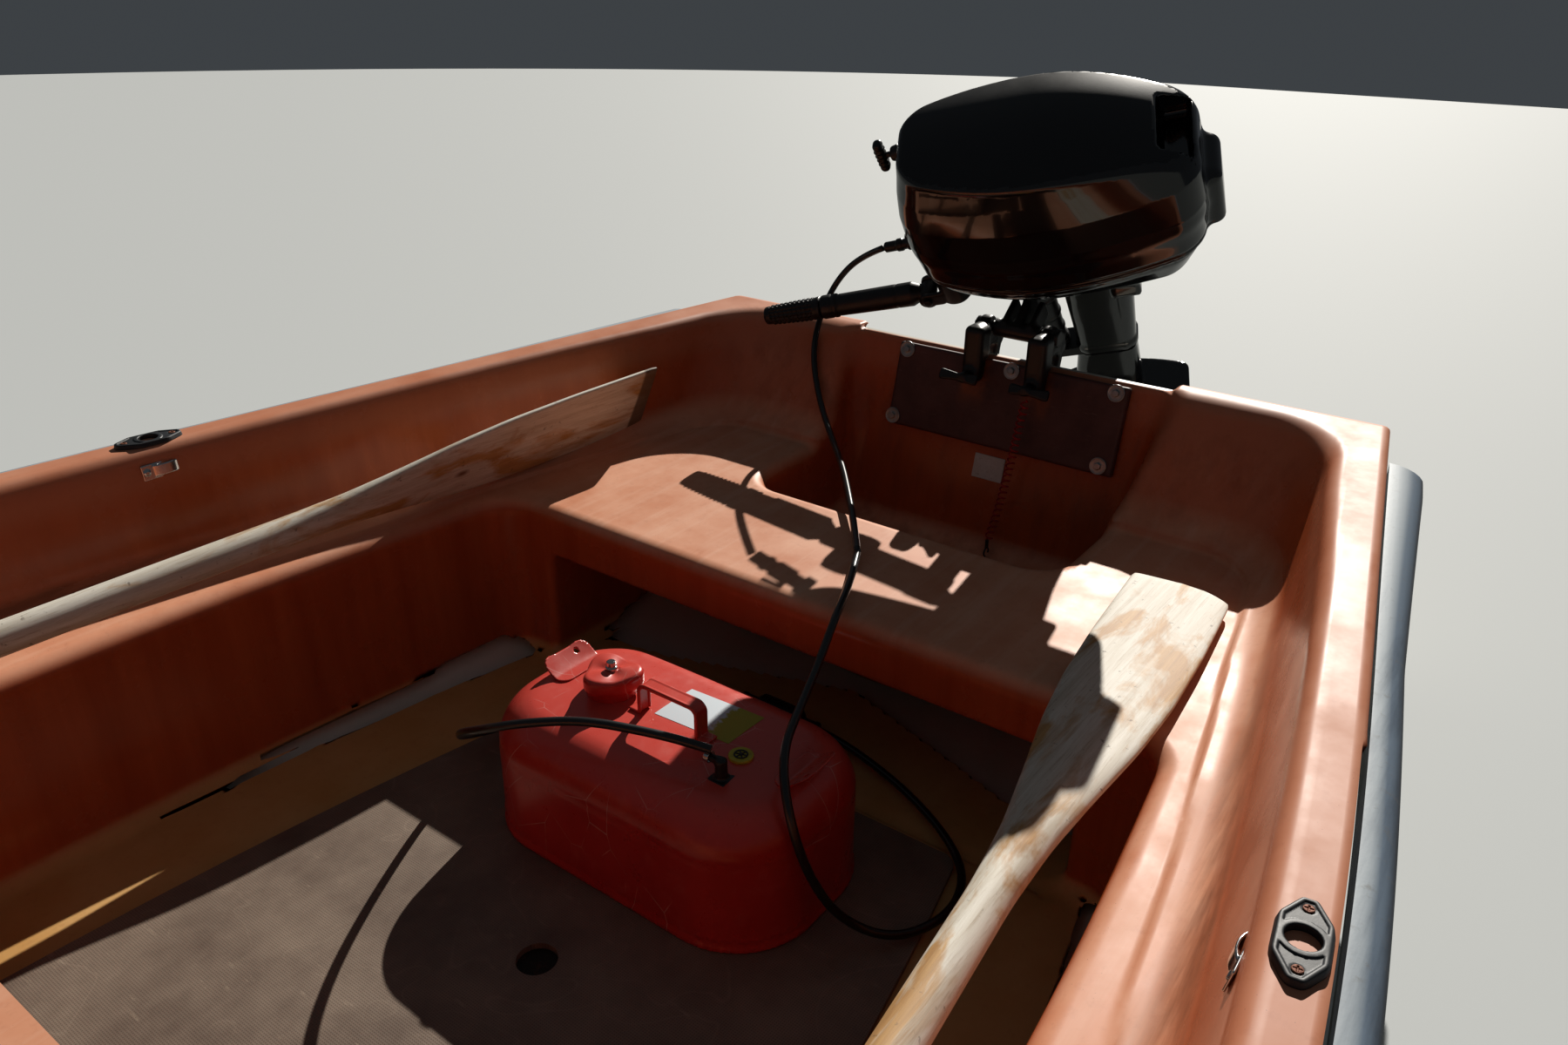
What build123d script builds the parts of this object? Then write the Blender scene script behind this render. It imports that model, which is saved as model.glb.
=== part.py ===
from build123d import *
from math import atan2, cos, degrees, radians, tan, pi
import os

os.makedirs("parts", exist_ok=True)

# A small open rowing dinghy of glass-reinforced plastic, afloat, with a portable
# fuel tank and a tilted outboard motor clamped to its transom.
# Frame: +X to the bow, +Y to port, +Z up. The origin is on the centreline at the
# waterline, amidships. Millimetres.

# Hull lines, outer surface below the gunwale flange.
# Each station: x, half breadth at the sheer, half breadth at the bilge, height of the
# bilge, height of the keel, height of the sheer.
STATIONS = [
    (-2160, 624, 540, 5, -32, 421),
    (-1500, 738, 640, -78, -104, 411),
    (-800, 848, 730, -96, -138, 405),
    (100, 885, 755, -98, -150, 422),
    (900, 775, 610, -84, -138, 478),
    (1500, 530, 340, 30, -72, 541),
    (1900, 260, 125, 200, 110, 592),
    (2060, 26, 14, 400, 330, 615),
]
SKIN = 8
STEM_X = 1985
TRANSOM_RAKE = 13
TRANSOM_TOP_X = -2100
TRANSOM_TOP_Z = 420

# Inner moulding
FLANGE_OUT = 18
FLANGE_IN = 42
FLANGE_T = 12
BENCH_Z = 226
SOLE_Z = -66
BENCH_SETBACK = 34
# Side bench edge: an arc through aft, middle and fore points (x, half breadth)
BENCH_AFT_Y = 588
BENCH_MID = (-300, 655)
BENCH_FORE_Y = 500
FOOT_IN = 18
CORNER_R = 60
THWART_FRONT_X = -1368
THWART_AFT_X = -1690
THWART_T = 26
FASCIA_H = 92
FASCIA_W = 20
UNDER_HALF = 485
UNDER_BACK_X = -1655
WELL_HALF = 290
WELL_R = 60
WELL_FLOOR_Z = 60
RECESS_HALF = 322
RECESS_DIP = 10
STERN_TOP = 50
TRANSOM_T = 30
MID_THWART_X = (-365, -85)
MID_THWART_T = 30
BOW_SEAT_X = 1050
BOW_SEAT_Z = 300

# Sole board
BOARD_T = 9
BOARD_X = (-1320, 980)
BOARD_AFT_Y = 350
BOARD_MID = (-200, 470)
BOARD_FORE_Y = 330
BOARD_R = 25
BOARD_HOLE = (-847, 22)
BOARD_HOLE_D = 52

# Transom pad and its bolts
PAD_Y = 19
PAD_W = 458
PAD_H = 160
PAD_T = 15
PAD_TOP = 14
WASHER_D = 31
BOLT_HEAD = 13

# Rub rail
RAIL_H = 46
RAIL_W = 34
RAIL_DROP = 4

# Rowlock sockets and strap brackets
SOCKET_X = -907
SOCKET_L = 96
SOCKET_W = 44
SOCKET_T = 9
SOCKET_BORE = 13.5

# Oars
SHAFT_D = 45
OAR_L = 2050
OAR_GRIP_L = 130
OAR_GRIP_D = 34

# Fuel tank: centre, size, and the pieces on it as distances from its starboard (-) or port (+) end
TANK = (-1127, 12)
TANK_L = 500
TANK_W = 290
TANK_H = 200
TANK_WALL_H = 128
TANK_R = 118
TANK_SHOULDER = 22
TANK_CROWN = 58
CAP_INSET = 133
CAP_R = 46
CAP_LOBE_R = 17
HANDLE_L = 108
HANDLE_H = 50
HANDLE_W = 22
HANDLE_T = 7
HANGER_W = 86
HANGER_T = 3
HANGER_RISE = 42
HANGER_INSET = 44
GAUGE_INSET = 129
GAUGE_R = 17
OUTLET_INSET = 112
OUTLET_X = 59
NECK_R = 9

# Outboard motor: the tilt tube, the swivel axis behind it, and the pose
TILT_X = -2076
TILT_Z = 464
SWIVEL_BACK = 100
AXIS_DROP = 26
TILT = 40
STEER = -68
MOTOR_Y = 19

QUARTER_SLOPE = 34
FORE_DECK_X = 1480
RAIL_AFT_X = -1957
RAIL_FORE_X = 2040
RAIL_HOLLOW = 60
PAD_BOLTS = [(-192, 27), (226, 27), (-200, 158), (222, 158), (27, 27)]
# Oar sections from the blade's tip: x, width, thickness
OAR_SECTIONS = [(0, 146, 8), (40, 150, 11), (330, 142, 14), (520, 96, 22), (700, 50, 44), (760, 45, 45)]
OAR_PORT = ((-1737, 475, 234.4), 5.4, 0, -0.6)
OAR_STARBOARD = ((-1735, -585, 302), -3.3, 65, 1.4)
# Cowl and pan sections: height, front x, rear x, half breadth, half breadth at the front
# and at the rear, corner radius
COWL_ROWS = [(128, 178, -300, 142, 72, 100, 40), (215, 183, -305, 148, 80, 106, 45),
             (300, 173, -292, 138, 86, 104, 45), (346, 160, -268, 122, 84, 96, 34),
             (368, 118, -222, 84, 54, 62, 28)]
PAN_ROWS = [(66, 128, -212, 92, 46, 66, 28), (104, 166, -284, 132, 66, 92, 36),
            (127, 176, -297, 141, 71, 99, 40)]
COWL_WIDEST_X = -52
INTAKE_X = (-284, -236)
INTAKE_HALF = 78
INTAKE_DEPTH = 46
POWERHEAD = (300, 200, 150)
POWERHEAD_AT = (-62, 226)
# Leg sections: height, centre x, length, width, corner radius
LEG_ROWS = [(66, -112, 150, 110, 40), (-30, -104, 122, 88, 30), (-200, -96, 108, 62, 22),
            (-380, -74, 140, 46, 16)]
CLAMP_Y = 62
SHAFT_R = 14
RUN_GAP = 0.08
PROP_SHAFT_R = 8
ARM_T = 16
HOSE_D = 12
LANYARD_D = 18
AV_Z = -388
AV_T = 8
AV_L = 300
AV_W = 176
GEAR_Z = -500
GEAR_R = 37
GEAR_NOSE_X = 138
GEAR_TAIL_X = -152
STRUT_L = 170
STRUT_W = 26
SKEG_DROP = 158
SKEG_T = 9
PROP_R = 104
PROP_HUB_R = 32
PROP_HUB_L = 82
PROP_BLADES = 3
PROP_PITCH = 42
BLADE_ROOT_W = 56
BLADE_MID_W = 88
BOSS_X = 153
BOSS_R = 26
BOSS_Z = (-4, 56)
ARM_H = 22
ARM_W = 46
ARM_Z = 40
TILLER_Z = 12
TILLER_PIVOT_X = 200
TILLER_R = 17
KNUCKLE_R = 15
PIN_R = 5
GRIP_X = 415
GRIP_END_X = 536
GRIP_R = 20
FORK_T = 9
FORK_GAP = 1
EYE_Z = 470
EYE_R = 20
EYE_BAR = 5
PLUG_R = 16
PLUG_AT = (-120, 385)


def station(x):
    rows = STATIONS
    for a, b in zip(rows, rows[1:]):
        if a[0] <= x <= b[0]:
            t = (x - a[0]) / (b[0] - a[0])
            return [p + t * (q - p) for p, q in zip(a, b)]
    return list(rows[0] if x < rows[0][0] else rows[-1])


def hull_section(row, inset, lift):
    # keel line, bilge arc and topside line, mirrored
    x, ys, yb, zb, zk, zs = row
    ys, yb = ys - inset, max(yb - inset, 8)
    zb, zk = zb + inset * 0.6, zk + inset
    keel, corner, sheer = Vector(0, zk), Vector(yb, zb), Vector(ys, zs)
    turn = 0.42 * min((corner - keel).length, (sheer - corner).length)
    a = corner + (keel - corner).normalized() * turn
    b = corner + (sheer - corner).normalized() * turn
    m = a * 0.25 + corner * 0.5 + b * 0.25
    top = Vector(ys, zs + max(lift, 1))

    def m_y(v):
        return (-v.X, v.Y)

    with BuildSketch(Plane(origin=(x, 0, 0), x_dir=(0, 1, 0), z_dir=(1, 0, 0))) as sk:
        with BuildLine():
            Line((keel.X, keel.Y), (a.X, a.Y))
            ThreePointArc((a.X, a.Y), (m.X, m.Y), (b.X, b.Y))
            Polyline((b.X, b.Y), (sheer.X, sheer.Y), (top.X, top.Y), m_y(top), m_y(sheer), m_y(b))
            ThreePointArc(m_y(b), m_y(m), m_y(a))
            Line(m_y(a), (keel.X, keel.Y))
        make_face()
    return sk.sketch


def hull_loft(inset, lift=0):
    return loft([hull_section(row, inset, lift) for row in STATIONS])


def block(x0, x1, y0, y1, z0, z1):
    return Pos((x0 + x1) / 2, (y0 + y1) / 2, (z0 + z1) / 2) * Box(x1 - x0, y1 - y0, z1 - z0)


def behind(offset):
    # everything aft of the raked transom plane moved forward by offset
    big = 3000
    cut = Pos(-big / 2, 0, 0) * Box(big, big, big)
    place = Pos(TRANSOM_TOP_X + offset / cos(radians(TRANSOM_RAKE)), 0, TRANSOM_TOP_Z)
    return place * Rot(0, -TRANSOM_RAKE, 0) * cut


def strip(rows):
    # loft of four-cornered sections: rows of x, (y, z) corners
    faces = []
    for x, pts in rows:
        with BuildSketch(Plane(origin=(x, 0, 0), x_dir=(0, 1, 0), z_dir=(1, 0, 0))) as sk:
            with BuildLine():
                Polyline(*pts, close=True)
            make_face()
        faces.append(sk.sketch)
    return loft(faces)


hull_solid = hull_loft(0) - behind(0)
hull_hollow = (hull_loft(SKIN, 60) - behind(SKIN)) & block(-3000, STEM_X, -2000, 2000, -500, 2000)
hull_shell = hull_solid - hull_hollow

# Slab above the sheer: everything over the top or the underside of the flange
def over_sheer(drop):
    rows = [(r[0], [(-1200, r[5] - drop), (1200, r[5] - drop), (1200, 1500), (-1200, 1500)])
            for r in STATIONS]
    return strip(rows)


over_flange_base = over_sheer(FLANGE_T)
hull_shell -= over_flange_base


def inner_face(row):
    # half breadth of the inner moulding's side at bench height and carried up to 900
    top = row[1] - FLANGE_IN
    foot = top - BENCH_SETBACK
    slope = (top - foot) / (row[5] - BENCH_Z)
    return foot, foot + slope * (900 - BENCH_Z)


upper = strip([(r[0], [(inner_face(r)[0], BENCH_Z), (inner_face(r)[1], 900),
                       (-inner_face(r)[1], 900), (-inner_face(r)[0], BENCH_Z)])
               for r in STATIONS[:6]])
quarter = Pos(TRANSOM_TOP_X + STERN_TOP, 0, TRANSOM_TOP_Z) * Rot(0, -QUARTER_SLOPE, 0) * (
    Pos(-1000, 0, 0) * Box(2000, 3000, 3000))
upper -= quarter


def cockpit_plan(z, x0, x1, aft_y, mid, fore_y, corner):
    # plan with straight ends, bowed sides through a middle point, and rounded corners
    with BuildSketch(Plane.XY.offset(z)) as sk:
        with BuildLine():
            Line((x0, -aft_y), (x0, aft_y))
            ThreePointArc((x0, aft_y), (mid[0], mid[1]), (x1, fore_y))
            Line((x1, fore_y), (x1, -fore_y))
            ThreePointArc((x1, -fore_y), (mid[0], -mid[1]), (x0, -aft_y))
        make_face()
        fillet(sk.vertices(), corner)
    return sk.sketch


def bench_plan(z, inset):
    return cockpit_plan(z, THWART_FRONT_X, BOW_SEAT_X, BENCH_AFT_Y - inset,
                        (BENCH_MID[0], BENCH_MID[1] - inset), BENCH_FORE_Y - inset, CORNER_R)


lower = loft([bench_plan(SOLE_Z, FOOT_IN), bench_plan(BENCH_Z + 5, 0)], ruled=True)
under = block(UNDER_BACK_X, THWART_FRONT_X + 5, -UNDER_HALF, UNDER_HALF, SOLE_Z, BENCH_Z - THWART_T)
fascia = block(THWART_FRONT_X - FASCIA_W, THWART_FRONT_X + 5, -UNDER_HALF, UNDER_HALF,
               BENCH_Z - FASCIA_H, BENCH_Z)
with BuildSketch(Plane(origin=(-2400, 0, 0), x_dir=(0, 1, 0), z_dir=(1, 0, 0))) as sk:
    with BuildLine():
        Polyline((-WELL_HALF, WELL_FLOOR_Z), (WELL_HALF, WELL_FLOOR_Z), (WELL_HALF, BENCH_Z),
                 (RECESS_HALF, TRANSOM_TOP_Z - RECESS_DIP), (RECESS_HALF, 600),
                 (-RECESS_HALF, 600), (-RECESS_HALF, TRANSOM_TOP_Z - RECESS_DIP),
                 (-WELL_HALF, BENCH_Z), close=True)
    make_face()
well = extrude(sk.sketch, THWART_AFT_X + 2400) - behind(TRANSOM_T)
well = fillet(well.edges().filter_by(Axis.Z).sort_by(Axis.X)[-2:], WELL_R)
over_seat = block(BOW_SEAT_X, 3000, -2000, 2000, -500, BOW_SEAT_Z)
cavity = (upper - over_seat) + lower + (under - fascia) + well

liner = (hull_hollow - behind(SKIN + 0.5)) - cavity - over_flange_base
sole_moulding = liner & block(THWART_AFT_X, BOW_SEAT_X, -2000, 2000, -500, SOLE_Z)
stern_moulding = liner & block(-3000, THWART_AFT_X, -2000, 2000, -500, 2000)
aft_thwart = liner & block(THWART_AFT_X, THWART_FRONT_X, -2000, 2000, SOLE_Z, 2000)
side = liner & (block(THWART_FRONT_X, BOW_SEAT_X, -2000, 2000, SOLE_Z, 2000)
                + block(BOW_SEAT_X, FORE_DECK_X, -2000, 2000, BOW_SEAT_Z, 2000))
side_bench_port = side & block(-3000, 3000, 0, 2000, -500, 2000)
side_bench_starboard = side & block(-3000, 3000, -2000, 0, -500, 2000)
bow_seat = liner & (block(BOW_SEAT_X, 3000, -2000, 2000, -500, BOW_SEAT_Z)
                    + block(FORE_DECK_X, 3000, -2000, 2000, BOW_SEAT_Z, 2000))

# Gunwale flange, transom cap and fore deck
def flange_side(sign):
    rows = []
    for r in STATIONS:
        out = r[1] + FLANGE_OUT
        inn = max(out - FLANGE_OUT - FLANGE_IN, 0.2)
        rows.append((r[0], [(sign * inn, 200), (sign * inn, 800), (sign * out, 800), (sign * out, 200)]))
    return (strip(rows) & over_flange_base) - over_sheer(0)


cap_box = block(TRANSOM_TOP_X - 6, TRANSOM_TOP_X + STERN_TOP, -615, 615, 300, 460)
gunwale_port = flange_side(1) - block(-3000, TRANSOM_TOP_X - 6, -2000, 2000, -500, 2000)
gunwale_starboard = flange_side(-1) - block(-3000, TRANSOM_TOP_X - 6, -2000, 2000, -500, 2000)
dip = block(-3000, -1900, -RECESS_HALF, RECESS_HALF, TRANSOM_TOP_Z - RECESS_DIP, 600) + well
transom_cap = (cap_box & over_flange_base) - over_sheer(0) - dip - gunwale_port - gunwale_starboard
fore_deck = (over_flange_base - over_sheer(2)) & block(FORE_DECK_X, 2052, -700, 700, 300, 900)
fore_deck = fore_deck & (hull_loft(0, 80) + block(0, 1, 0, 1, 0, 1))
fore_deck = fore_deck - gunwale_port - gunwale_starboard
fore_deck = max(fore_deck.solids(), key=lambda s: s.volume)

# Rub rails: a D section, open at its aft end
def rail_loft(inset):
    faces = []
    for r in STATIONS:
        a = r[1] + FLANGE_OUT + 0.5
        t = r[5] - RAIL_DROP - inset
        b = t - RAIL_H + 2 * inset
        with BuildSketch(Plane(origin=(r[0], 0, 0), x_dir=(0, 1, 0), z_dir=(1, 0, 0))) as sk:
            with BuildLine():
                Line((a + inset, b), (a + inset, t))
                ThreePointArc((a + inset, t), (a + RAIL_W - inset, (t + b) / 2), (a + inset, b))
            make_face()
        faces.append(sk.sketch)
    return loft(faces)


rail_full = rail_loft(0) & block(RAIL_AFT_X, RAIL_FORE_X, -2000, 2000, -500, 2000)
rail_end = rail_loft(6) & block(RAIL_AFT_X - 5, RAIL_AFT_X + RAIL_HOLLOW, -2000, 2000, -500, 2000)
rub_rail_port = rail_full - rail_end - gunwale_port - hull_solid
rub_rail_starboard = mirror(rail_full - rail_end, about=Plane.XZ) - gunwale_starboard - hull_solid

# Sole board with its round lifting hole, on the sole moulding
sole_board = extrude(cockpit_plan(SOLE_Z, *BOARD_X, BOARD_AFT_Y, BOARD_MID, BOARD_FORE_Y, BOARD_R), BOARD_T)
sole_board -= Pos(BOARD_HOLE[0], BOARD_HOLE[1], SOLE_Z) * Cylinder(BOARD_HOLE_D / 2, 60)

# Centre thwart between the side benches
mid_span = block(MID_THWART_X[0], MID_THWART_X[1], -900, 900, BENCH_Z - MID_THWART_T, BENCH_Z)
centre_thwart = (mid_span & (lower - block(-3000, 3000, -2000, 2000, BENCH_Z, 900)))

# Pad on the transom's inner face, its five bolts with washers, and the blank plate
transom_inner = TRANSOM_TOP_X + TRANSOM_T / cos(radians(TRANSOM_RAKE))


def on_transom(shape, x_out, y, down):
    # local x out of the transom's inner face, local z up the rake
    place = Pos(transom_inner, y, TRANSOM_TOP_Z) * Rot(0, -TRANSOM_RAKE, 0)
    return place * (Pos(x_out, 0, -down) * shape)


transom_pad = on_transom(Box(PAD_T, PAD_W, PAD_H), PAD_T / 2, PAD_Y, PAD_TOP + PAD_H / 2)
bolt_axis = Rot(0, 90, 0)
bolts = None
for y, down in PAD_BOLTS:
    washer = on_transom(bolt_axis * Cylinder(WASHER_D / 2, 2), PAD_T + 1, y, down)
    head = on_transom(bolt_axis * extrude(RegularPolygon(BOLT_HEAD / 2, 6), 7), PAD_T + 2, y, down)
    bolts = (washer + head) if bolts is None else bolts + washer + head
pad_bolts = bolts
blank_plate = on_transom(Box(1.5, 62, 46), 0.75, 12, PAD_TOP + PAD_H + 40)

# Rowlock sockets on the gunwales and strap brackets under them
def socket(sign):
    r = station(SOCKET_X)
    y = r[1] + (FLANGE_OUT - FLANGE_IN) / 2
    with BuildSketch() as sk:
        with BuildLine():
            Polyline((-SOCKET_L / 2, 8), (-18, SOCKET_W / 2), (18, SOCKET_W / 2), (SOCKET_L / 2, 8),
                     (SOCKET_L / 2, -8), (18, -SOCKET_W / 2), (-18, -SOCKET_W / 2),
                     (-SOCKET_L / 2, -8), close=True)
        make_face()
    turn = degrees(atan2(station(SOCKET_X + 100)[1] - station(SOCKET_X - 100)[1], 200))
    plate = Pos(SOCKET_X, sign * y, r[5] - 2) * Rot(0, 0, sign * turn) * extrude(sk.sketch, SOCKET_T + 2)
    bore = Pos(SOCKET_X, sign * y, r[5]) * Cylinder(SOCKET_BORE, 80)
    flange = gunwale_port if sign > 0 else gunwale_starboard
    return plate - flange - bore


def socket_bore(sign):
    r = station(SOCKET_X)
    return Pos(SOCKET_X, sign * (r[1] + (FLANGE_OUT - FLANGE_IN) / 2), r[5]) * Cylinder(SOCKET_BORE, 80)


rowlock_socket_port = socket(1)
rowlock_socket_starboard = socket(-1)
gunwale_port -= socket_bore(1)
gunwale_starboard -= socket_bore(-1)
side_bench_port -= socket_bore(1)
side_bench_starboard -= socket_bore(-1)
hull_shell = hull_shell - socket_bore(1) - socket_bore(-1)


def strap(sign):
    r = station(SOCKET_X)
    y0 = r[1] - FLANGE_IN
    z = r[5] - 32
    plate = Pos(SOCKET_X, sign * (y0 - 6), z) * Box(74, 14, 24)
    return plate - (side_bench_port if sign > 0 else side_bench_starboard)


strap_bracket_port = strap(1)
strap_bracket_starboard = strap(-1)

# Oars: shaft along local +X from the blade's tip, blade flat in local XY
def oar():
    faces = []
    for x, w, t in OAR_SECTIONS:
        with BuildSketch(Plane(origin=(x, 0, 0), x_dir=(0, 1, 0), z_dir=(1, 0, 0))) as sk:
            SlotOverall(max(w, t + 0.5), t) if w > t + 1 else Circle(t / 2)
        faces.append(sk.sketch)
    blade = loft(faces[:5], ruled=True)
    neck = loft(faces[4:6], ruled=True)
    root = OAR_SECTIONS[-1][0]
    grip_x = OAR_L - OAR_GRIP_L
    taper = 20
    along = Rot(0, 90, 0)
    shaft = Pos((root + grip_x) / 2, 0, 0) * along * Cylinder(SHAFT_D / 2, grip_x - root)
    shoulder = Pos(grip_x + taper / 2, 0, 0) * along * Cone(SHAFT_D / 2, OAR_GRIP_D / 2, taper)
    grip = Pos((grip_x + taper + OAR_L) / 2, 0, 0) * along * Cylinder(OAR_GRIP_D / 2, OAR_GRIP_L - taper)
    return blade + neck + shaft + shoulder + grip


def place_oar(shape, tip, heading, roll, pitch):
    return Pos(*tip) * Rot(0, 0, heading) * Rot(0, pitch, 0) * Rot(roll, 0, 0) * shape


oar_wood = oar()
oar_port = place_oar(oar_wood, *OAR_PORT)
oar_starboard = place_oar(oar_wood, *OAR_STARBOARD)

# Fuel tank: base seam, wall, domed top, and its fittings placed from the tank's ends
tx, ty = TANK
tank_z = SOLE_Z + BOARD_T
tank_top_z = tank_z + TANK_H
SEAM_OUT = 3
SEAM_H = 8
TANK_ROWS = [(SEAM_H, 0), (TANK_WALL_H, 0), (TANK_WALL_H + 34, 7), (TANK_WALL_H + 55, TANK_SHOULDER),
             (TANK_H, TANK_CROWN)]


def tank_section(z, inset):
    w, length = TANK_W - 2 * (SEAM_OUT + inset), TANK_L - 2 * (SEAM_OUT + inset)
    with BuildSketch(Plane.XY.offset(z)) as sk:
        RectangleRounded(w, length, TANK_R - SEAM_OUT - inset)
    return sk.sketch


def tank_end(sign, inset, x=0):
    return Pos(tx + x, ty + sign * (TANK_L / 2 - inset), tank_top_z)


seam = extrude(RectangleRounded(TANK_W, TANK_L, TANK_R), SEAM_H)
wall = extrude(tank_section(*TANK_ROWS[0]), TANK_WALL_H - SEAM_H)
crown = loft([tank_section(*row) for row in TANK_ROWS[1:]])
tank_body = Pos(tx, ty, tank_z) * (seam + wall + crown)

CAP_SKIRT_H = 18
CAP_TOP_H = 20
VENT_R = 7
with BuildSketch(Plane.XY.offset(CAP_SKIRT_H)) as sk:
    Circle(CAP_R - 10)
    with PolarLocations(CAP_R - CAP_LOBE_R, 3):
        Circle(CAP_LOBE_R)
cap_top = fillet(extrude(sk.sketch, CAP_TOP_H).edges().group_by(Axis.Z)[-1], 4)
cap_vent = Pos(0, 0, CAP_SKIRT_H + CAP_TOP_H + 5) * Cylinder(VENT_R, 10)
tank_cap = tank_end(-1, CAP_INSET) * (Pos(0, 0, CAP_SKIRT_H / 2) * Cylinder(CAP_R - 6, CAP_SKIRT_H)
                                      + cap_top + cap_vent)

with BuildSketch(Plane.YZ) as sk:
    RectangleRounded(HANDLE_L, 2 * HANDLE_H, 16)
    RectangleRounded(HANDLE_L - 2 * HANDLE_T, 2 * (HANDLE_H - HANDLE_T), 10, mode=Mode.SUBTRACT)
    with Locations((0, -HANDLE_H)):
        Rectangle(2 * HANDLE_L, 2 * HANDLE_H, mode=Mode.SUBTRACT)
strap_bow = extrude(sk.sketch, HANDLE_W / 2, both=True)
handle_foot = Box(HANDLE_W, 18, 3)
HANDLE_FOOT_Y = HANDLE_L / 2 + 6
tank_handle = Pos(tx + 12, ty + 4, tank_top_z) * (
    strap_bow + Pos(0, HANDLE_FOOT_Y, 1.5) * handle_foot + Pos(0, -HANDLE_FOOT_Y, 1.5) * handle_foot)

HANGER_LEAN = 52
HANGER_HOLE_R = 8
HANGER_X = -12
with BuildSketch() as sk:
    RectangleRounded(HANGER_W, 2 * HANGER_RISE, 14)
    with Locations((0, HANGER_RISE - 17)):
        Circle(HANGER_HOLE_R, mode=Mode.SUBTRACT)
ear = extrude(sk.sketch, HANGER_T)


def hanger(sign):
    outward = Rot(0, 0, 0 if sign > 0 else 180)
    return tank_end(sign, HANGER_INSET, HANGER_X) * outward * Rot(HANGER_LEAN, 0, 0) * (Pos(0, 6, 0) * ear)


tank_hanger_left = hanger(-1) - tank_body
tank_hanger_right = hanger(1) - tank_body
tank_gauge = tank_end(1, GAUGE_INSET, 13) * (Pos(0, 0, 2) * Cylinder(GAUGE_R, 4)
                                             + Pos(0, 0, 6) * Cylinder(GAUGE_R - 5, 4))
NECK_H = 30
SPOUT_Z = 26
tank_outlet = tank_end(1, OUTLET_INSET, OUTLET_X) * (
    Pos(0, 0, 2) * Cylinder(NECK_R + 6, 4) + Pos(0, 0, NECK_H / 2) * Cylinder(NECK_R, NECK_H)
    + Pos(0, -12, SPOUT_Z) * Rot(90, 0, 0) * Cylinder(5, 24)
    + Pos(0, -12, SPOUT_Z) * Rot(90, 0, 0) * Cylinder(7, 8))

# Outboard motor, drawn upright and straight ahead about its swivel axis, then steered and tilted.
# The motor's datum is on the swivel axis, above the tilt tube by AXIS_DROP and behind it.
def in_swivel(shape):
    s = Pos(-SWIVEL_BACK, 0, AXIS_DROP) * shape
    return Pos(TILT_X, MOTOR_Y, TILT_Z) * Rot(0, TILT, 0) * s


def steered(shape):
    return in_swivel(Rot(0, 0, STEER) * shape)


def barrel(z, front, rear, half, front_half, rear_half, corner):
    # cowl section: straight ends, bowed sides, rounded corners
    with BuildSketch(Plane.XY.offset(z)) as sk:
        with BuildLine():
            Line((front, -front_half), (front, front_half))
            ThreePointArc((front, front_half), (COWL_WIDEST_X, half), (rear, rear_half))
            Line((rear, rear_half), (rear, -rear_half))
            ThreePointArc((rear, -rear_half), (COWL_WIDEST_X, -half), (front, -front_half))
        make_face()
        fillet(sk.vertices(), corner)
    return sk.sketch


def across(x, z, r, length, y=0):
    # cylinder along the motor's Y
    return Pos(x, y, z) * Rot(90, 0, 0) * Cylinder(r, length)


def along(x, z, r, length, y=0):
    # cylinder along the motor's X
    return Pos(x, y, z) * Rot(0, 90, 0) * Cylinder(r, length)


cowl_sides = loft([barrel(*row) for row in COWL_ROWS[:4]])
cowl_top = loft([barrel(*row) for row in COWL_ROWS[3:]], ruled=True)
intake = block(*INTAKE_X, -INTAKE_HALF, INTAKE_HALF, COWL_ROWS[3][0] - INTAKE_DEPTH, 400)
power_at = Pos(POWERHEAD_AT[0], 0, POWERHEAD_AT[1])
hollow = power_at * Box(*(v + 0.2 for v in POWERHEAD))
cowl_local = cowl_sides + cowl_top - intake - hollow
LATCH = (26, 64, 24)
pan_local = (loft([barrel(*row) for row in PAN_ROWS])
             + Pos(PAN_ROWS[2][2], 0, PAN_ROWS[2][0] - 20) * Box(*LATCH))
cowl = steered(cowl_local)
cowl_pan = steered(pan_local)
powerhead = steered(power_at * Box(*POWERHEAD))


def leg_section(z, cx, length, width, corner):
    with BuildSketch(Plane.XY.offset(z)) as sk:
        with Locations((cx, 0)):
            RectangleRounded(length, width, corner)
    return sk.sketch


leg_local = loft([leg_section(*row) for row in LEG_ROWS])
midsection = steered(leg_local - pan_local)

# Gearcase: torpedo, strut, anti-ventilation plate, skeg and propeller shaft
with BuildSketch(Plane.XZ) as sk:
    with BuildLine():
        Line((GEAR_TAIL_X, 0), (GEAR_NOSE_X, 0))
        ThreePointArc((GEAR_NOSE_X, 0), (GEAR_NOSE_X - 26, GEAR_R * 0.68), (40, GEAR_R))
        Line((40, GEAR_R), (-60, GEAR_R))
        Line((-60, GEAR_R), (GEAR_TAIL_X, GEAR_R - 6))
        Line((GEAR_TAIL_X, GEAR_R - 6), (GEAR_TAIL_X, 0))
    make_face()
torpedo = Pos(0, 0, GEAR_Z) * revolve(sk.sketch, Axis.X)
with BuildSketch(Plane.XY.offset(AV_Z)) as sk:
    with BuildLine():
        ThreePointArc((-130, -AV_W / 2), (70, 0), (-130, AV_W / 2))
        Line((-130, AV_W / 2), (70 - AV_L, AV_W / 2 - 22))
        Line((70 - AV_L, AV_W / 2 - 22), (70 - AV_L, 22 - AV_W / 2))
        Line((70 - AV_L, 22 - AV_W / 2), (-130, -AV_W / 2))
    make_face()
plate_av = extrude(sk.sketch, AV_T)
with BuildSketch(Plane.XY.offset(GEAR_Z)) as sk:
    with Locations((-40, 0)):
        SlotOverall(STRUT_L, STRUT_W)
strut = extrude(sk.sketch, AV_Z - GEAR_Z + 1)
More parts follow.
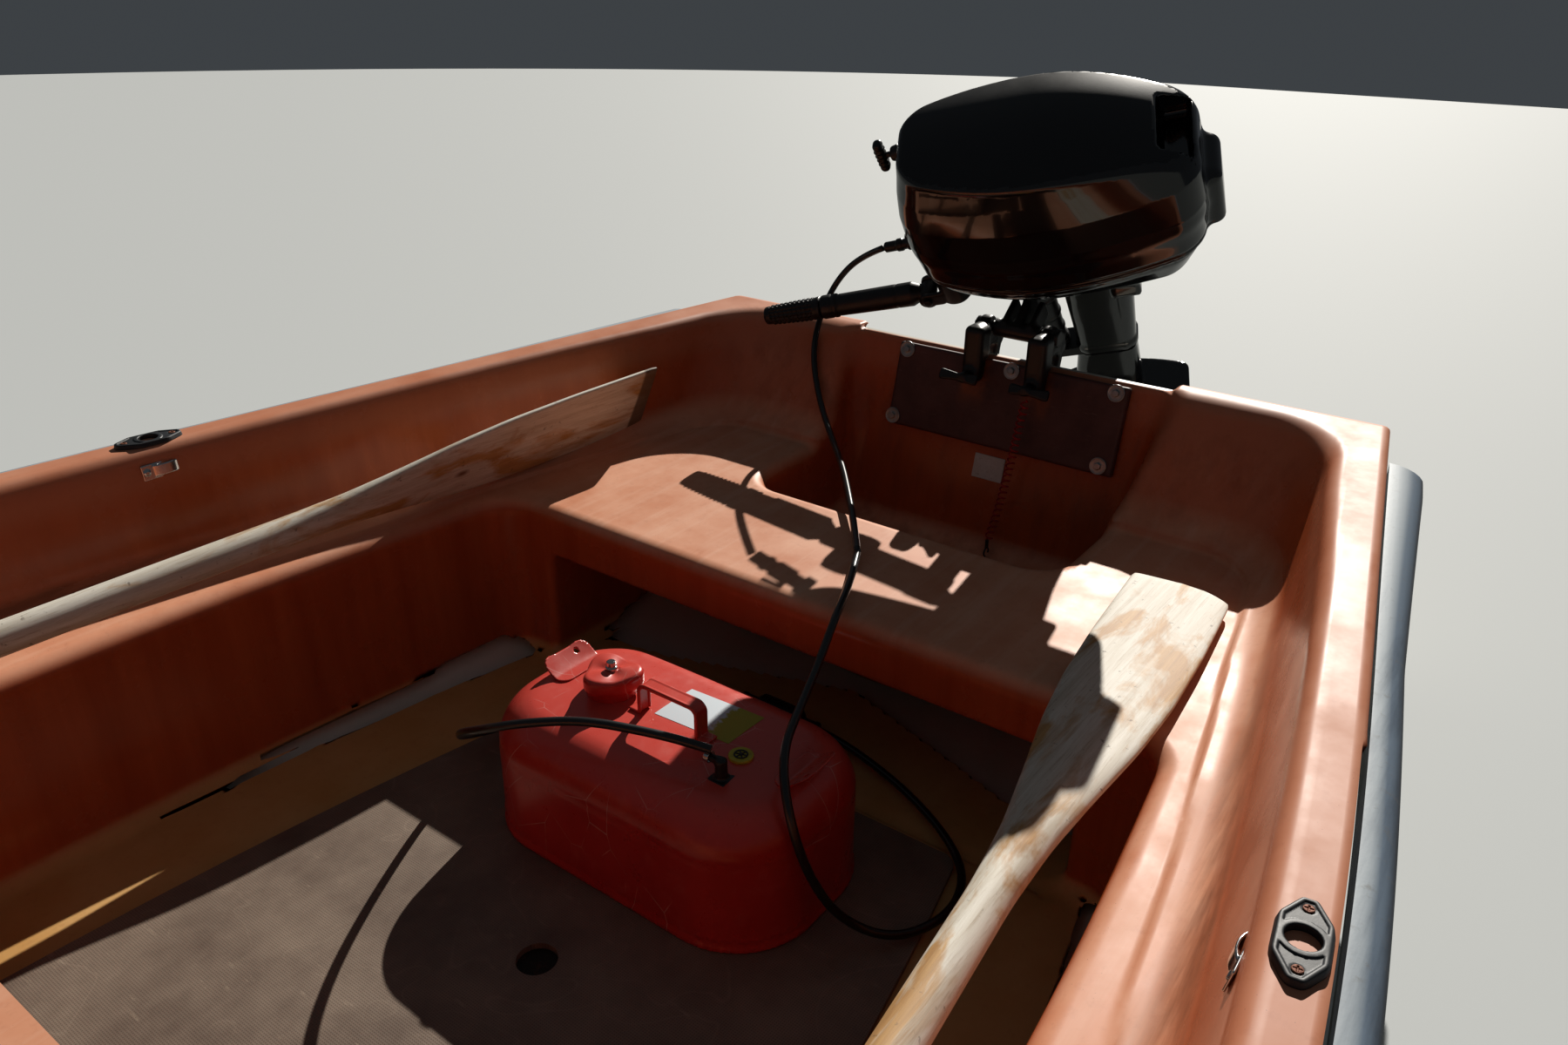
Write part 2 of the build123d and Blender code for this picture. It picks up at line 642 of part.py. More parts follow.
with BuildSketch(Plane.XZ) as sk:
    with BuildLine():
        Polyline((60, GEAR_Z), (-110, GEAR_Z), (-116, GEAR_Z - SKEG_DROP),
                 (-58, GEAR_Z - SKEG_DROP), close=True)
    make_face()
    fillet(sk.vertices().sort_by(Axis.Y)[:2], 12)
skeg = extrude(sk.sketch, SKEG_T / 2, both=True)
HUB_X = -198
prop_shaft = along(HUB_X, GEAR_Z, PROP_SHAFT_R, 110)
gearcase = steered(torpedo + plate_av + strut + skeg + prop_shaft - leg_local)

# Propeller: hub and twisted blades; each blade section is (radius, width, thickness, pitch angle)
BLADE_ROWS = [(PROP_HUB_R - 6, BLADE_ROOT_W, 9, 56), (66, BLADE_MID_W, 7, PROP_PITCH),
              (PROP_R - 8, BLADE_MID_W * 0.62, 4, 30)]


def blade_section(r, width, thickness, pitch):
    with BuildSketch(Plane.XY.offset(r)) as sk:
        SlotOverall(width, thickness, rotation=90 - pitch)
    return sk.sketch


blade = loft([blade_section(*row) for row in BLADE_ROWS])
prop_local = along(0, 0, PROP_HUB_R, PROP_HUB_L)
for i in range(PROP_BLADES):
    prop_local += Rot(360 / PROP_BLADES * i, 0, 0) * blade
prop_local -= along(0, 0, PROP_SHAFT_R + RUN_GAP, PROP_HUB_L + 80)
propeller = steered(Pos(HUB_X, 0, GEAR_Z) * prop_local)

# Steering arm: shaft down the swivel tube, arm to the tiller's boss, and the fork that holds the tiller
FORK_Y = TILLER_R + FORK_GAP + FORK_T / 2
SHAFT_Z = (-207, ARM_Z + ARM_H / 2)
shaft = Pos(0, 0, sum(SHAFT_Z) / 2) * Cylinder(SHAFT_R, SHAFT_Z[1] - SHAFT_Z[0])
arm_bar = block(-70, BOSS_X, -ARM_W / 2, ARM_W / 2, ARM_Z - ARM_H / 2, ARM_Z + ARM_H / 2)
arm_hub = Pos(0, 0, ARM_Z) * Cylinder(ARM_W / 2 + 6, ARM_H)
boss = Pos(BOSS_X, 0, sum(BOSS_Z) / 2) * Cylinder(BOSS_R, BOSS_Z[1] - BOSS_Z[0])
fork = across(TILLER_PIVOT_X, TILLER_Z, PIN_R, 2 * FORK_Y)
for sign in (-1, 1):
    y = sign * FORK_Y
    fork += across(TILLER_PIVOT_X, TILLER_Z, KNUCKLE_R, FORK_T, y)
    fork += block(BOSS_X, TILLER_PIVOT_X, y - FORK_T / 2, y + FORK_T / 2, TILLER_Z - 12, TILLER_Z + 12)
steering_local = shaft + arm_bar + arm_hub + boss + fork - pan_local - leg_local
fork_room = Pos(TILLER_PIVOT_X, 0, TILLER_Z) * Rot(90, 0, 0) * Cylinder(
    TILLER_PIVOT_X - BOSS_X - 12, 2 * (TILLER_R + FORK_GAP))
pin = across(TILLER_PIVOT_X, TILLER_Z, PIN_R, 2 * FORK_Y)
steering_local = steering_local - fork_room + pin
steering_arm = steered(steering_local)
YOKE = (80, 52, 22)
lower_yoke = steered(Pos(-24, 0, SHAFT_Z[0] + YOKE[2] / 2) * Box(*YOKE) - leg_local - shaft)

# Tiller: knuckle on the pin, tapered arm, collar and ribbed grip
COLLAR_X = GRIP_X - 34
knuckle = across(TILLER_PIVOT_X, TILLER_Z, KNUCKLE_R, 2 * TILLER_R)
pin_bore = across(TILLER_PIVOT_X, TILLER_Z, PIN_R + RUN_GAP, 60)
arm_length = COLLAR_X - TILLER_PIVOT_X
tiller_cone = Pos((TILLER_PIVOT_X + COLLAR_X) / 2, 0, TILLER_Z) * Rot(0, 90, 0) * Cone(
    TILLER_R, TILLER_R - 3, arm_length)
collar = along((COLLAR_X + GRIP_X) / 2, TILLER_Z, GRIP_R - 1, GRIP_X - COLLAR_X)
tiller_arm = steered(knuckle + tiller_cone + collar - pin_bore)
grip_local = along((GRIP_X + GRIP_END_X) / 2, TILLER_Z, GRIP_R, GRIP_END_X - GRIP_X)
RIBS = 7
RIB_PITCH = 14
for i in range(RIBS):
    rib_x = GRIP_X + 16 + RIB_PITCH * i
    grip_local -= along(rib_x, TILLER_Z, GRIP_R + 5, 5) - along(rib_x, TILLER_Z, GRIP_R - 2, 6)
tiller_grip = steered(grip_local)

PULL_Z = 326
PULL_Y = -36
pull_face = COWL_ROWS[3][1]
pull_bar = block(pull_face + 26, pull_face + 44, PULL_Y - 11, PULL_Y + 11, PULL_Z - 31, PULL_Z + 31)
recoil_handle = steered(pull_bar
                        + along(pull_face + 18, PULL_Z, 6, 40, PULL_Y) - cowl_local)
CONNECTOR_Y = -55
CONNECTOR_Z = 92
fuel_connector = steered(along(172, CONNECTOR_Z, 12, 90, CONNECTOR_Y) - pan_local)

# Swivel bracket: the tube round the steering shaft, the barrel on the tilt tube, and a web between
BARREL_R = 16
BARREL_HALF = 46
TILT_TUBE_R = 11
TUBE_R = 24
TUBE_Z = (-183, 24)
swivel_tube = Pos(0, 0, sum(TUBE_Z) / 2) * Cylinder(TUBE_R, TUBE_Z[1] - TUBE_Z[0])
lower_lip = Pos(0, 0, TUBE_Z[0] + 6) * Cylinder(TUBE_R + 4, 12)
tilt_barrel = across(SWIVEL_BACK, -AXIS_DROP, BARREL_R, 2 * BARREL_HALF)
with BuildSketch(Plane.XZ) as sk:
    with BuildLine():
        Polyline((0, 12), (SWIVEL_BACK, -AXIS_DROP + 10), (SWIVEL_BACK, -AXIS_DROP - 14), (58, -58),
                 (34, -110), (0, -150), close=True)
    make_face()
web = extrude(sk.sketch, 16, both=True)
shoulder_web = extrude(sk.sketch, 34, both=True) & block(40, SWIVEL_BACK, -40, 40, -60, 20)
swivel_local = (swivel_tube + lower_lip + tilt_barrel + web + shoulder_web
                - Pos(0, 0, -78) * Cylinder(SHAFT_R + RUN_GAP, 300)
                - across(SWIVEL_BACK, -AXIS_DROP, TILT_TUBE_R + RUN_GAP, 200))
swivel_bracket = in_swivel(swivel_local)

# Clamp bracket: two plates hooked over the transom, joined by the tilt tube, a rear brace and nuts
slope = tan(radians(TRANSOM_RAKE))
seat_z = TRANSOM_TOP_Z - RECESS_DIP + 1
pad_face = TRANSOM_TOP_X + (TRANSOM_T + PAD_T) / cos(radians(TRANSOM_RAKE))
LOBE_R = 15
REAR_T = 17
REAR_DROP = 185
SCREW_Z = 385
FRONT_X = TILT_X + 59
screw_face = pad_face + (TRANSOM_TOP_Z - SCREW_Z) * slope
rear_top = TRANSOM_TOP_X - 8


def clamp_side(sign):
    foot_x = rear_top + REAR_DROP * slope
    foot_z = TRANSOM_TOP_Z - REAR_DROP
    ring = [(rear_top - REAR_T, seat_z + 22), (TILT_X - 12, TILT_Z + 9), (TILT_X + 10, TILT_Z + 11),
            (FRONT_X, TILT_Z - 36), (FRONT_X, SCREW_Z - 20), (screw_face + 16, SCREW_Z - 20),
            (screw_face + 16, seat_z), (rear_top, seat_z), (foot_x, foot_z),
            (foot_x - REAR_T + 5, foot_z), (rear_top - REAR_T, seat_z - 20)]
    with BuildSketch(Plane.XZ) as sk:
        with BuildLine():
            Polyline(*ring, close=True)
        make_face()
    y = MOTOR_Y + sign * CLAMP_Y
    plate = Pos(0, y + ARM_T / 2, 0) * extrude(sk.sketch, ARM_T)
    lobe = Pos(TILT_X, y, TILT_Z) * Rot(90, 0, 0) * Cylinder(LOBE_R, ARM_T)
    nut_block = block(screw_face + 16, FRONT_X, y - 25, y + 25, SCREW_Z - 20, SCREW_Z + 20)
    return plate + lobe + nut_block


tube_half = CLAMP_Y + ARM_T / 2 + 10
brace_x = rear_top + 100 * slope
brace = block(brace_x - 13, brace_x - 1, MOTOR_Y - CLAMP_Y, MOTOR_Y + CLAMP_Y, TRANSOM_TOP_Z - 118,
              TRANSOM_TOP_Z - 82)
tilt_tube = Pos(TILT_X, MOTOR_Y, TILT_Z) * Rot(90, 0, 0) * Cylinder(TILT_TUBE_R, 2 * tube_half)
tube_nuts = None
for sign in (-1, 1):
    nut = Pos(TILT_X, MOTOR_Y + sign * (tube_half - 4), TILT_Z) * Rot(90, 0, 0) * Cylinder(LOBE_R + 1, 8)
    tube_nuts = nut if tube_nuts is None else tube_nuts + nut
clamp_bracket = clamp_side(1) + clamp_side(-1) + brace + tilt_tube + tube_nuts

# Clamp screws: pressure disc, threaded shank and a T handle each
clamp_screws = None
for sign in (-1, 1):
    sy = MOTOR_Y + sign * CLAMP_Y
    shank_end = FRONT_X + 26
    one = (Pos(screw_face + 6.4, sy, SCREW_Z) * Rot(0, 90, 0) * Cylinder(13, 6)
           + Pos((screw_face + shank_end) / 2 + 4, sy, SCREW_Z) * Rot(0, 90, 0) * Cylinder(
               6, shank_end - screw_face - 8)
           + Pos(shank_end, sy, SCREW_Z) * Rot(0, 90, 0) * Cylinder(9, 12)
           + Pos(shank_end, sy + sign * 8, SCREW_Z) * Rot(90, 0, 0) * Rot(0, 24, 0) * Cylinder(4.5, 76))
    clamp_screws = one if clamp_screws is None else clamp_screws + one
clamp_bracket -= clamp_screws

# Bow eye on the stem and drain plug low in the transom
stem_face = STATIONS[-1][0]
eye_plate = Pos(stem_face + 2, 0, EYE_Z) * Box(4, 22, 70)
eye_ring = Pos(stem_face + 4, 0, EYE_Z) * Rot(90, 0, 0) * Torus(EYE_R, EYE_BAR)
bow_eye = (eye_plate + eye_ring) & block(stem_face, stem_face + 60, -40, 40, EYE_Z - 60, EYE_Z + 60)
on_rake = Pos(TRANSOM_TOP_X, PLUG_AT[0], TRANSOM_TOP_Z) * Rot(0, -TRANSOM_RAKE, 0)
plug_place = on_rake * Pos(0, 0, -PLUG_AT[1])
drain_plug = plug_place * Rot(0, 90, 0) * (Pos(0, 0, -2) * Cylinder(PLUG_R, 4)
                                           + Pos(0, 0, -8) * Cylinder(PLUG_R * 0.55, 8))

# Cords: a tube along straight runs joined by tangent arcs
def tube(points, d):
    pts = [Vector(*p) for p in points]
    radii = []
    for a, b, c in zip(pts, pts[1:], pts[2:]):
        turn = radians((b - a).get_angle(c - b))
        radii.append(0.45 * min((b - a).length, (c - b).length) / tan(turn / 2))
    line = FilletPolyline(*pts, radius=radii)
    path = line.wire() if hasattr(line, "wire") else Wire(line)
    start = Plane(origin=pts[0], z_dir=(pts[1] - pts[0]).normalized())
    with BuildSketch(start) as sk:
        Circle(d / 2)
    solid = sweep(sk.sketch, path=path)
    print("cord", round(path.length), "min radius", round(min(radii)), "volume ratio",
          round(solid.volume / (pi * d * d / 4 * path.length), 4), [round(r) for r in radii])
    return solid


HOSE_LOWER = [(-1067, 123, 174), (-1056, 96, 180), (-1033, 40, 186), (-1000, -32, 190), (-958, -96, 182),
              (-938, -160, 155), (-955, -226, 112), (-998, -286, 56), (-1058, -338, 2),
              (-1130, -366, -40), (-1222, -366, -47), (-1318, -336, -47), (-1392, -270, -47),
              (-1424, -190, -40), (-1430, -110, -36)]
HOSE_MIDDLE = [(-1430, 40, -36), (-1424, 110, -40), (-1400, 210, -47), (-1350, 310, -47), (-1290, 380, -47),
               (-1210, 400, -47), (-1130, 366, -46), (-1094, 306, -20), (-1060, 278, 60), (-1058, 248, 140),
               (-1104, 204, 184), (-1190, 170, 190), (-1280, 138, 202), (-1350, 116, 232), (-1440, 82, 238),
               (-1530, 36, 235)]
HOSE_UPPER = [(-1531, 35.4, 235), (-1610, -22, 236), (-1700, -92, 240), (-1800, -172, 242), (-1890, -258, 250),
              (-1950, -330, 296), (-2000, -382, 366), (-2042, -390, 432), (-2062, -366, 498),
              (-2064, -318, 548), (-2054, -262, 580)]
fuel_hose_lower = tube(HOSE_LOWER, HOSE_D)
fuel_hose_middle = tube(HOSE_MIDDLE, HOSE_D)
fuel_hose_upper = tube(HOSE_UPPER, HOSE_D)
primer_bulb = Pos(-1430, -35, -36) * Rot(90, 0, 0) * (
    Cylinder(20, 90) + Pos(0, 0, 59.5) * Cylinder(9, 29.4) + Pos(0, 0, -59.5) * Cylinder(9, 29.4))
lanyard = tube([(-2000, 81, 352.2), (-1990, 74, 280), (-1984, 66, 210), (-1976, 58, 140), (-1964, 50, 90)],
               LANYARD_D)

everything = {
    "hull_shell": hull_shell,
    "sole_moulding": sole_moulding,
    "stern_moulding": stern_moulding,
    "aft_thwart": aft_thwart,
    "side_bench_port": side_bench_port,
    "side_bench_starboard": side_bench_starboard,
    "bow_seat": bow_seat,
    "gunwale_port": gunwale_port,
    "gunwale_starboard": gunwale_starboard,
    "transom_cap": transom_cap,
    "fore_deck": fore_deck,
    "rub_rail_port": rub_rail_port,
    "rub_rail_starboard": rub_rail_starboard,
    "sole_board": sole_board,
    "centre_thwart": centre_thwart,
    "transom_pad": transom_pad,
    "pad_bolts": pad_bolts,
    "blank_plate": blank_plate,
    "rowlock_socket_port": rowlock_socket_port,
    "rowlock_socket_starboard": rowlock_socket_starboard,
    "strap_bracket_port": strap_bracket_port,
    "strap_bracket_starboard": strap_bracket_starboard,
    "oar_port": oar_port,
    "oar_starboard": oar_starboard,
    "tank_body": tank_body,
    "tank_cap": tank_cap,
    "tank_handle": tank_handle,
    "tank_hanger_left": tank_hanger_left,
    "tank_hanger_right": tank_hanger_right,
    "tank_gauge": tank_gauge,
    "tank_outlet": tank_outlet,
    "cowl": cowl,
    "cowl_pan": cowl_pan,
    "powerhead": powerhead,
    "midsection": midsection,
    "gearcase": gearcase,
    "propeller": propeller,
    "recoil_handle": recoil_handle,
    "fuel_connector": fuel_connector,
    "steering_arm": steering_arm,
    "tiller_arm": tiller_arm,
    "tiller_grip": tiller_grip,
    "lower_yoke": lower_yoke,
    "swivel_bracket": swivel_bracket,
    "clamp_screws": clamp_screws,
    "fuel_hose_lower": fuel_hose_lower,
    "fuel_hose_middle": fuel_hose_middle,
    "fuel_hose_upper": fuel_hose_upper,
    "primer_bulb": primer_bulb,
    "lanyard": lanyard,
    "bow_eye": bow_eye,
    "drain_plug": drain_plug,
    "clamp_bracket": clamp_bracket,
}
for name, shape in everything.items():
    box = shape.bounding_box()
    print(name, len(shape.solids()), round(shape.volume / 1e6, 4),
          [round(v) for v in (*box.min, *box.max)])
    export_step(shape, "parts/" + name + ".step")
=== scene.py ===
import bpy
import math
import numpy as np
from functools import reduce
from mathutils import Matrix, Vector


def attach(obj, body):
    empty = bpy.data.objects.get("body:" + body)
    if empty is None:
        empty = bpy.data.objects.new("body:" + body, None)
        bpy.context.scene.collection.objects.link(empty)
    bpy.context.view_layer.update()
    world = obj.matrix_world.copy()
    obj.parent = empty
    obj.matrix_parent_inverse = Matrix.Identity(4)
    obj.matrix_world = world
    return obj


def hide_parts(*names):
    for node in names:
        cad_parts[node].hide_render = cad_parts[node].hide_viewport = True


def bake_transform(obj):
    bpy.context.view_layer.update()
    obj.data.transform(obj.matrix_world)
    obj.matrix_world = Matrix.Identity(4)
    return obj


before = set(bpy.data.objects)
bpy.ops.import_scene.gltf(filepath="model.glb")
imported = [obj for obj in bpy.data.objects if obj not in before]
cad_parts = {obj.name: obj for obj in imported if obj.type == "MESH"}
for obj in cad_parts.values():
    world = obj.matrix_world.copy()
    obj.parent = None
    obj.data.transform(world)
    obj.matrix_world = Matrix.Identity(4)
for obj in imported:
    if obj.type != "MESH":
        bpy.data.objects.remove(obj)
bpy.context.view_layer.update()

# Meshes


def link(o):
    bpy.context.scene.collection.objects.link(o)
    return o


def make_mesh(name, verts, faces, smooth=True):
    me = bpy.data.meshes.new(name)
    me.from_pydata([tuple(map(float, v)) for v in verts], [], [tuple(map(int, f)) for f in faces])
    me.validate()
    me.update()
    if smooth:
        me.polygons.foreach_set("use_smooth", [True] * len(me.polygons))
    return me


def add(name, verts, faces, mat, slot, cad=(), body="boat"):
    # a piece of a material that rides on a body and stands for the CAD nodes
    o = link(bpy.data.objects.new(name, make_mesh(name, verts, faces)))
    o.data.materials.append(M[mat])
    if body:
        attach(o, body)
    if cad:
        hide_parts(*cad)
    return o


# Surface nets: least value at a grid's border, least squared slope, moves to the surface, limit in cells
OUTSIDE, FLATTEST, MOVES, LIMIT = 1e-3, 0.2, 3, 0.6


def slope(f, V, e):
    # central differences of f at the points V
    G = np.empty_like(V)
    for k in range(3):
        P, N = V.copy(), V.copy()
        P[:, k] += e
        N[:, k] -= e
        G[:, k] = (f(*P.T) - f(*N.T)) / (2 * e)
    return G


def unit_normals(f, V):
    G = slope(f, V, 0.0006)
    return G / mx(np.linalg.norm(G, axis=1), 1e-9)[:, None]


def nets(f, xs, ys, zs):
    # closed mesh of the region where f is below zero, on a grid of uneven steps
    grid = [np.asarray(a, float) for a in (xs, ys, zs)]
    F = f(*np.meshgrid(*grid, indexing="ij"))
    for axis in range(3):
        for end in (0, -1):
            border = (slice(None),) * axis + (end,)
            F[border] = mx(F[border], OUTSIDE)
    S = F < 0
    cells = np.array(F.shape) - 1
    total = int(np.prod(cells))
    acc = np.zeros((total, 3))
    cnt = np.zeros(total)
    quads = []
    for axis in range(3):
        lo = (slice(None),) * axis + (slice(0, -1),)
        hi = (slice(None),) * axis + (slice(1, None),)
        cross = S[lo] != S[hi]
        idx = np.argwhere(cross)
        a = F[lo][cross]
        b = F[hi][cross]
        pos = np.stack([grid[k][idx[:, k]] for k in range(3)], 1)
        pos[:, axis] += a / (a - b) * (grid[axis][idx[:, axis] + 1] - pos[:, axis])
        u, v = [k for k in range(3) if k != axis]
        flat = []
        ok = np.ones(len(idx), bool)
        for du, dv in ((-1, -1), (0, -1), (0, 0), (-1, 0)):
            c = idx.copy()
            c[:, u] += du
            c[:, v] += dv
            ok &= (c[:, u] >= 0) & (c[:, v] >= 0) & (c[:, u] < cells[u]) & (c[:, v] < cells[v])
            flat.append(c[:, 0] * cells[1] * cells[2] + c[:, 1] * cells[2] + c[:, 2])
        for q in flat:
            np.add.at(acc, q[ok], pos[ok])
            np.add.at(cnt, q[ok], 1)
        q = np.stack(flat, 1)[ok]
        up = (a < 0)[ok]
        if axis == 1:
            up = ~up
        q[~up] = q[~up][:, ::-1]
        quads.append(q)
    quads = np.concatenate(quads)
    used = np.nonzero(cnt)[0]
    remap = -np.ones(total, int)
    remap[used] = np.arange(len(used))
    V = acc[used] / cnt[used][:, None]
    cell = np.array([np.median(np.diff(g)) for g in grid])
    e = float(cell.min()) * 0.08
    start = V.copy()
    edge = np.zeros(len(V), bool)
    for k in range(3):
        edge |= (V[:, k] < grid[k][1]) | (V[:, k] > grid[k][-2])
    for _ in range(MOVES):
        G = slope(f, V, e)
        step = -(f(*V.T) / mx((G ** 2).sum(1), FLATTEST))[:, None] * G
        step[edge] = 0
        V = V + step
        V = start + np.clip(V - start, -LIMIT * cell, LIMIT * cell)
    return V, remap[quads]


def steps(a, b, d):
    return np.linspace(a, b, max(2, int(round((b - a) / d)) + 1))


def joined(*parts):
    # grid lines from (start, end, step) runs
    out = []
    for a, b, d in parts:
        s = steps(a, b, d)
        out.append(s if not out else s[1:])
    return np.concatenate(out)


def mx(*a):
    return reduce(np.maximum, a)


def mn(*a):
    return reduce(np.minimum, a)


def both(a, b, r):
    # intersection with a rounded edge
    return mn(mx(a, b), -r) + np.hypot(mx(a + r, 0), mx(b + r, 0))


def either(a, b, r):
    # union with a rounded groove
    return mx(mn(a, b), r) - np.hypot(mx(r - a, 0), mx(r - b, 0))


def near(v, at, half):
    # below zero where v is within half of at
    return abs(v - at) - half


def slab(d, v, at, half, r):
    # the shape d cut to v within half of at, with rounded edges
    return both(d, near(v, at, half), r)


def bell(v, width):
    return np.exp(-(v / width) ** 2)


def rounded(x, y, half_x, half_y, r):
    # distance outside a rectangle with corners of radius r
    qx, qy = abs(x) - half_x + r, abs(y) - half_y + r
    return np.hypot(mx(qx, 0), mx(qy, 0)) + mn(mx(qx, qy), 0) - r


def hexagon(a, r):
    # a nut's radius in direction a
    return r / np.cos((a + math.pi / 6) % (math.pi / 3) - math.pi / 6)


def spline(xk, yk):
    # natural cubic through the knots
    x, y = np.asarray(xk, float), np.asarray(yk, float)
    n = len(x)
    h = np.diff(x)
    A = np.zeros((n, n))
    r = np.zeros(n)
    A[0, 0] = A[-1, -1] = 1
    for i in range(1, n - 1):
        A[i, i - 1], A[i, i], A[i, i + 1] = h[i - 1], 2 * (h[i - 1] + h[i]), h[i]
        r[i] = 6 * ((y[i + 1] - y[i]) / h[i] - (y[i] - y[i - 1]) / h[i - 1])
    m = np.linalg.solve(A, r)

    def at(q):
        q = np.clip(np.asarray(q, float), x[0], x[-1])
        i = np.clip(np.searchsorted(x, q) - 1, 0, n - 2)
        a, b, hh = x[i], x[i + 1], h[i]
        return (m[i] * (b - q) ** 3 + m[i + 1] * (q - a) ** 3) / (6 * hh) + \
            (y[i] / hh - m[i] * hh / 6) * (b - q) + (y[i + 1] / hh - m[i + 1] * hh / 6) * (q - a)
    return at


# Materials


class Nodes:
    def __init__(self, name):
        self.m = bpy.data.materials.new(name)
        self.m.use_nodes = True
        self.t = self.m.node_tree
        self.t.nodes.clear()
        out = self.n("OutputMaterial")
        self.b = self.n("BsdfPrincipled")
        self.t.links.new(self.b.outputs[0], out.inputs[0])
        self.co = self.n("TexCoord").outputs["Object"]

    def n(self, kind, **kw):
        x = self.t.nodes.new("ShaderNode" + kind)
        for k, v in kw.items():
            setattr(x, k, v)
        return x

    def put(self, socket, value):
        if isinstance(value, bpy.types.NodeSocket):
            self.t.links.new(value, socket)
        else:
            socket.default_value = value

    def node(self, kind, inputs, out=0, **kw):
        # a new node's output, with its inputs set or linked
        x = self.n(kind, **kw)
        for k, v in inputs.items():
            self.put(x.inputs[k], v)
        return x.outputs[out]

    def scaled(self, s, r=(0, 0, 0)):
        return self.node("Mapping", {0: self.co, "Scale": s, "Rotation": r})

    def noise(self, scale, detail=4, rough=0.55, dist=0.0, r=(0, 0, 0)):
        # three scales stretch the noise, turned by r
        vec = self.co
        if isinstance(scale, tuple):
            vec, scale = self.scaled(scale, r), 1.0
        return self.node("TexNoise", {"Vector": vec, "Scale": scale, "Detail": detail,
                                                "Roughness": rough, "Distortion": dist})

    def voro(self, scale, vec=None, feature="F1"):
        return self.node("TexVoronoi", {"Vector": vec or self.co, "Scale": scale}, "Distance",
                         feature=feature)

    def ramp(self, fac, start, end, high=1.0, low=0.0):
        # grey from low to high while fac goes from start to end
        x = self.n("ValToRGB")
        for e, position, grey in zip(x.color_ramp.elements, (start, end), (low, high)):
            e.position = position
            e.color = (grey, grey, grey, 1)
        self.put(x.inputs[0], fac)
        return x.outputs[0]

    def mix(self, fac, a, b):
        # three numbers are an sRGB colour in bytes, four a linear one
        a, b = ((*srgb(*v), 1) if isinstance(v, tuple) and len(v) == 3 else v for v in (a, b))
        return self.node("Mix", {0: fac, 6: a, 7: b}, 2, data_type="RGBA")

    def math(self, op, a, b=0.0, clamp=False):
        return self.node("Math", {0: a, 1: b}, operation=op, use_clamp=clamp)

    def linear(self, v, times, plus):
        return self.math("ADD", self.mul(v, times), plus)

    def xyz(self):
        x = self.n("SeparateXYZ")
        self.put(x.inputs[0], self.co)
        return x.outputs

    def up(self):
        normal = self.n("NewGeometry").outputs["Normal"]
        return self.node("SeparateXYZ", {0: normal}, 2)

    def step(self, v, a, b):
        return self.node("MapRange", {0: v, 1: a, 2: b}, interpolation_type="SMOOTHSTEP")

    def band(self, v, a, b, soft):
        return self.mul(self.step(v, a, a + soft), self.step(v, b, b - soft))

    def mul(self, *v):
        return reduce(lambda a, b: self.math("MULTIPLY", a, b), v)

    def bump(self, height, strength=0.3, dist=0.001):
        return self.node("Bump", {"Strength": strength, "Distance": dist, "Height": height})

    def done(self, color, rough, normal=None, metal=None, coat=None, coat_rough=None, spec=None):
        for name, v in (("Base Color", color), ("Roughness", rough), ("Metallic", metal), ("Normal", normal),
                        ("Coat Weight", coat), ("Coat Roughness", coat_rough), ("Specular IOR Level", spec)):
            if v is not None:
                self.put(self.b.inputs[name], v)
        return self.m


def srgb(*c):
    return tuple(v / 255 / 12.92 if v / 255 <= 0.04045 else ((v / 255 + 0.055) / 1.055) ** 2.4 for v in c)


def solid(name, f, lo, hi, step, mat, slot, cad=(), place=None, body="boat"):
    # closed mesh of f below zero in the box lo..hi, moved by place
    V, Q = nets(f, *(steps(a, b, step) for a, b in zip(lo, hi)))
    return add(name, V if place is None else place(V), Q, mat, slot, cad, body)


def rbox(x, y, z, c, h, r):
    q = [abs(p - a) - b + r for p, a, b in zip((x, y, z), c, h)]
    out = np.sqrt(sum(mx(k, 0) ** 2 for k in q))
    return out + mn(mx(*q), 0) - r


def rod(x, y, z, a, b, r0, r1=None, e=0.001):
    a, b = np.array(a, float), np.array(b, float)
    d = b - a
    length = float(np.linalg.norm(d))
    d = d / length
    px, py, pz = x - a[0], y - a[1], z - a[2]
    t = px * d[0] + py * d[1] + pz * d[2]
    rad = np.sqrt(mx(px ** 2 + py ** 2 + pz ** 2 - t ** 2, 1e-12))
    r = r0 if r1 is None else r0 + (r1 - r0) * np.clip(t / length, 0, 1)
    return both(rad - r, abs(t - length / 2) - length / 2, e)


def ring_faces(n, k):
    # quads between n closed rings of k points each
    return [(i * k + j, i * k + (j + 1) % k, (i + 1) * k + (j + 1) % k, (i + 1) * k + j)
            for i in range(n - 1) for j in range(k)]


def sweep_rings(path, ring):
    # closed mesh along a path (n, 3); ring gives the offsets (k, 2) at station i
    path = np.asarray(path, float)
    n = len(path)
    T = np.gradient(path, axis=0)
    T /= np.linalg.norm(T, axis=1)[:, None]
    side = np.cross(T[0], (0, 0, 1))
    if np.linalg.norm(side) < 0.1:
        side = np.cross(T[0], (0, 1, 0))
    side /= np.linalg.norm(side)
    verts = []
    for i in range(n):
        side = side - T[i] * float(side @ T[i])
        side /= np.linalg.norm(side)
        up = np.cross(side, T[i])
        off = np.asarray(ring(i))
        verts.append(path[i] + off[:, :1] * side + off[:, 1:] * up)
    k = len(off)
    ends = [tuple(range(k))[::-1], tuple((n - 1) * k + j for j in range(k))]
    return np.concatenate(verts), ring_faces(n, k) + ends


def circle(r, k):
    a = np.linspace(0, 2 * math.pi, k, endpoint=False)
    return np.stack([np.cos(a) * r, -np.sin(a) * r], 1)


def tube(path, r, k=18):
    ring = circle(r, k)
    return sweep_rings(path, lambda i: ring)


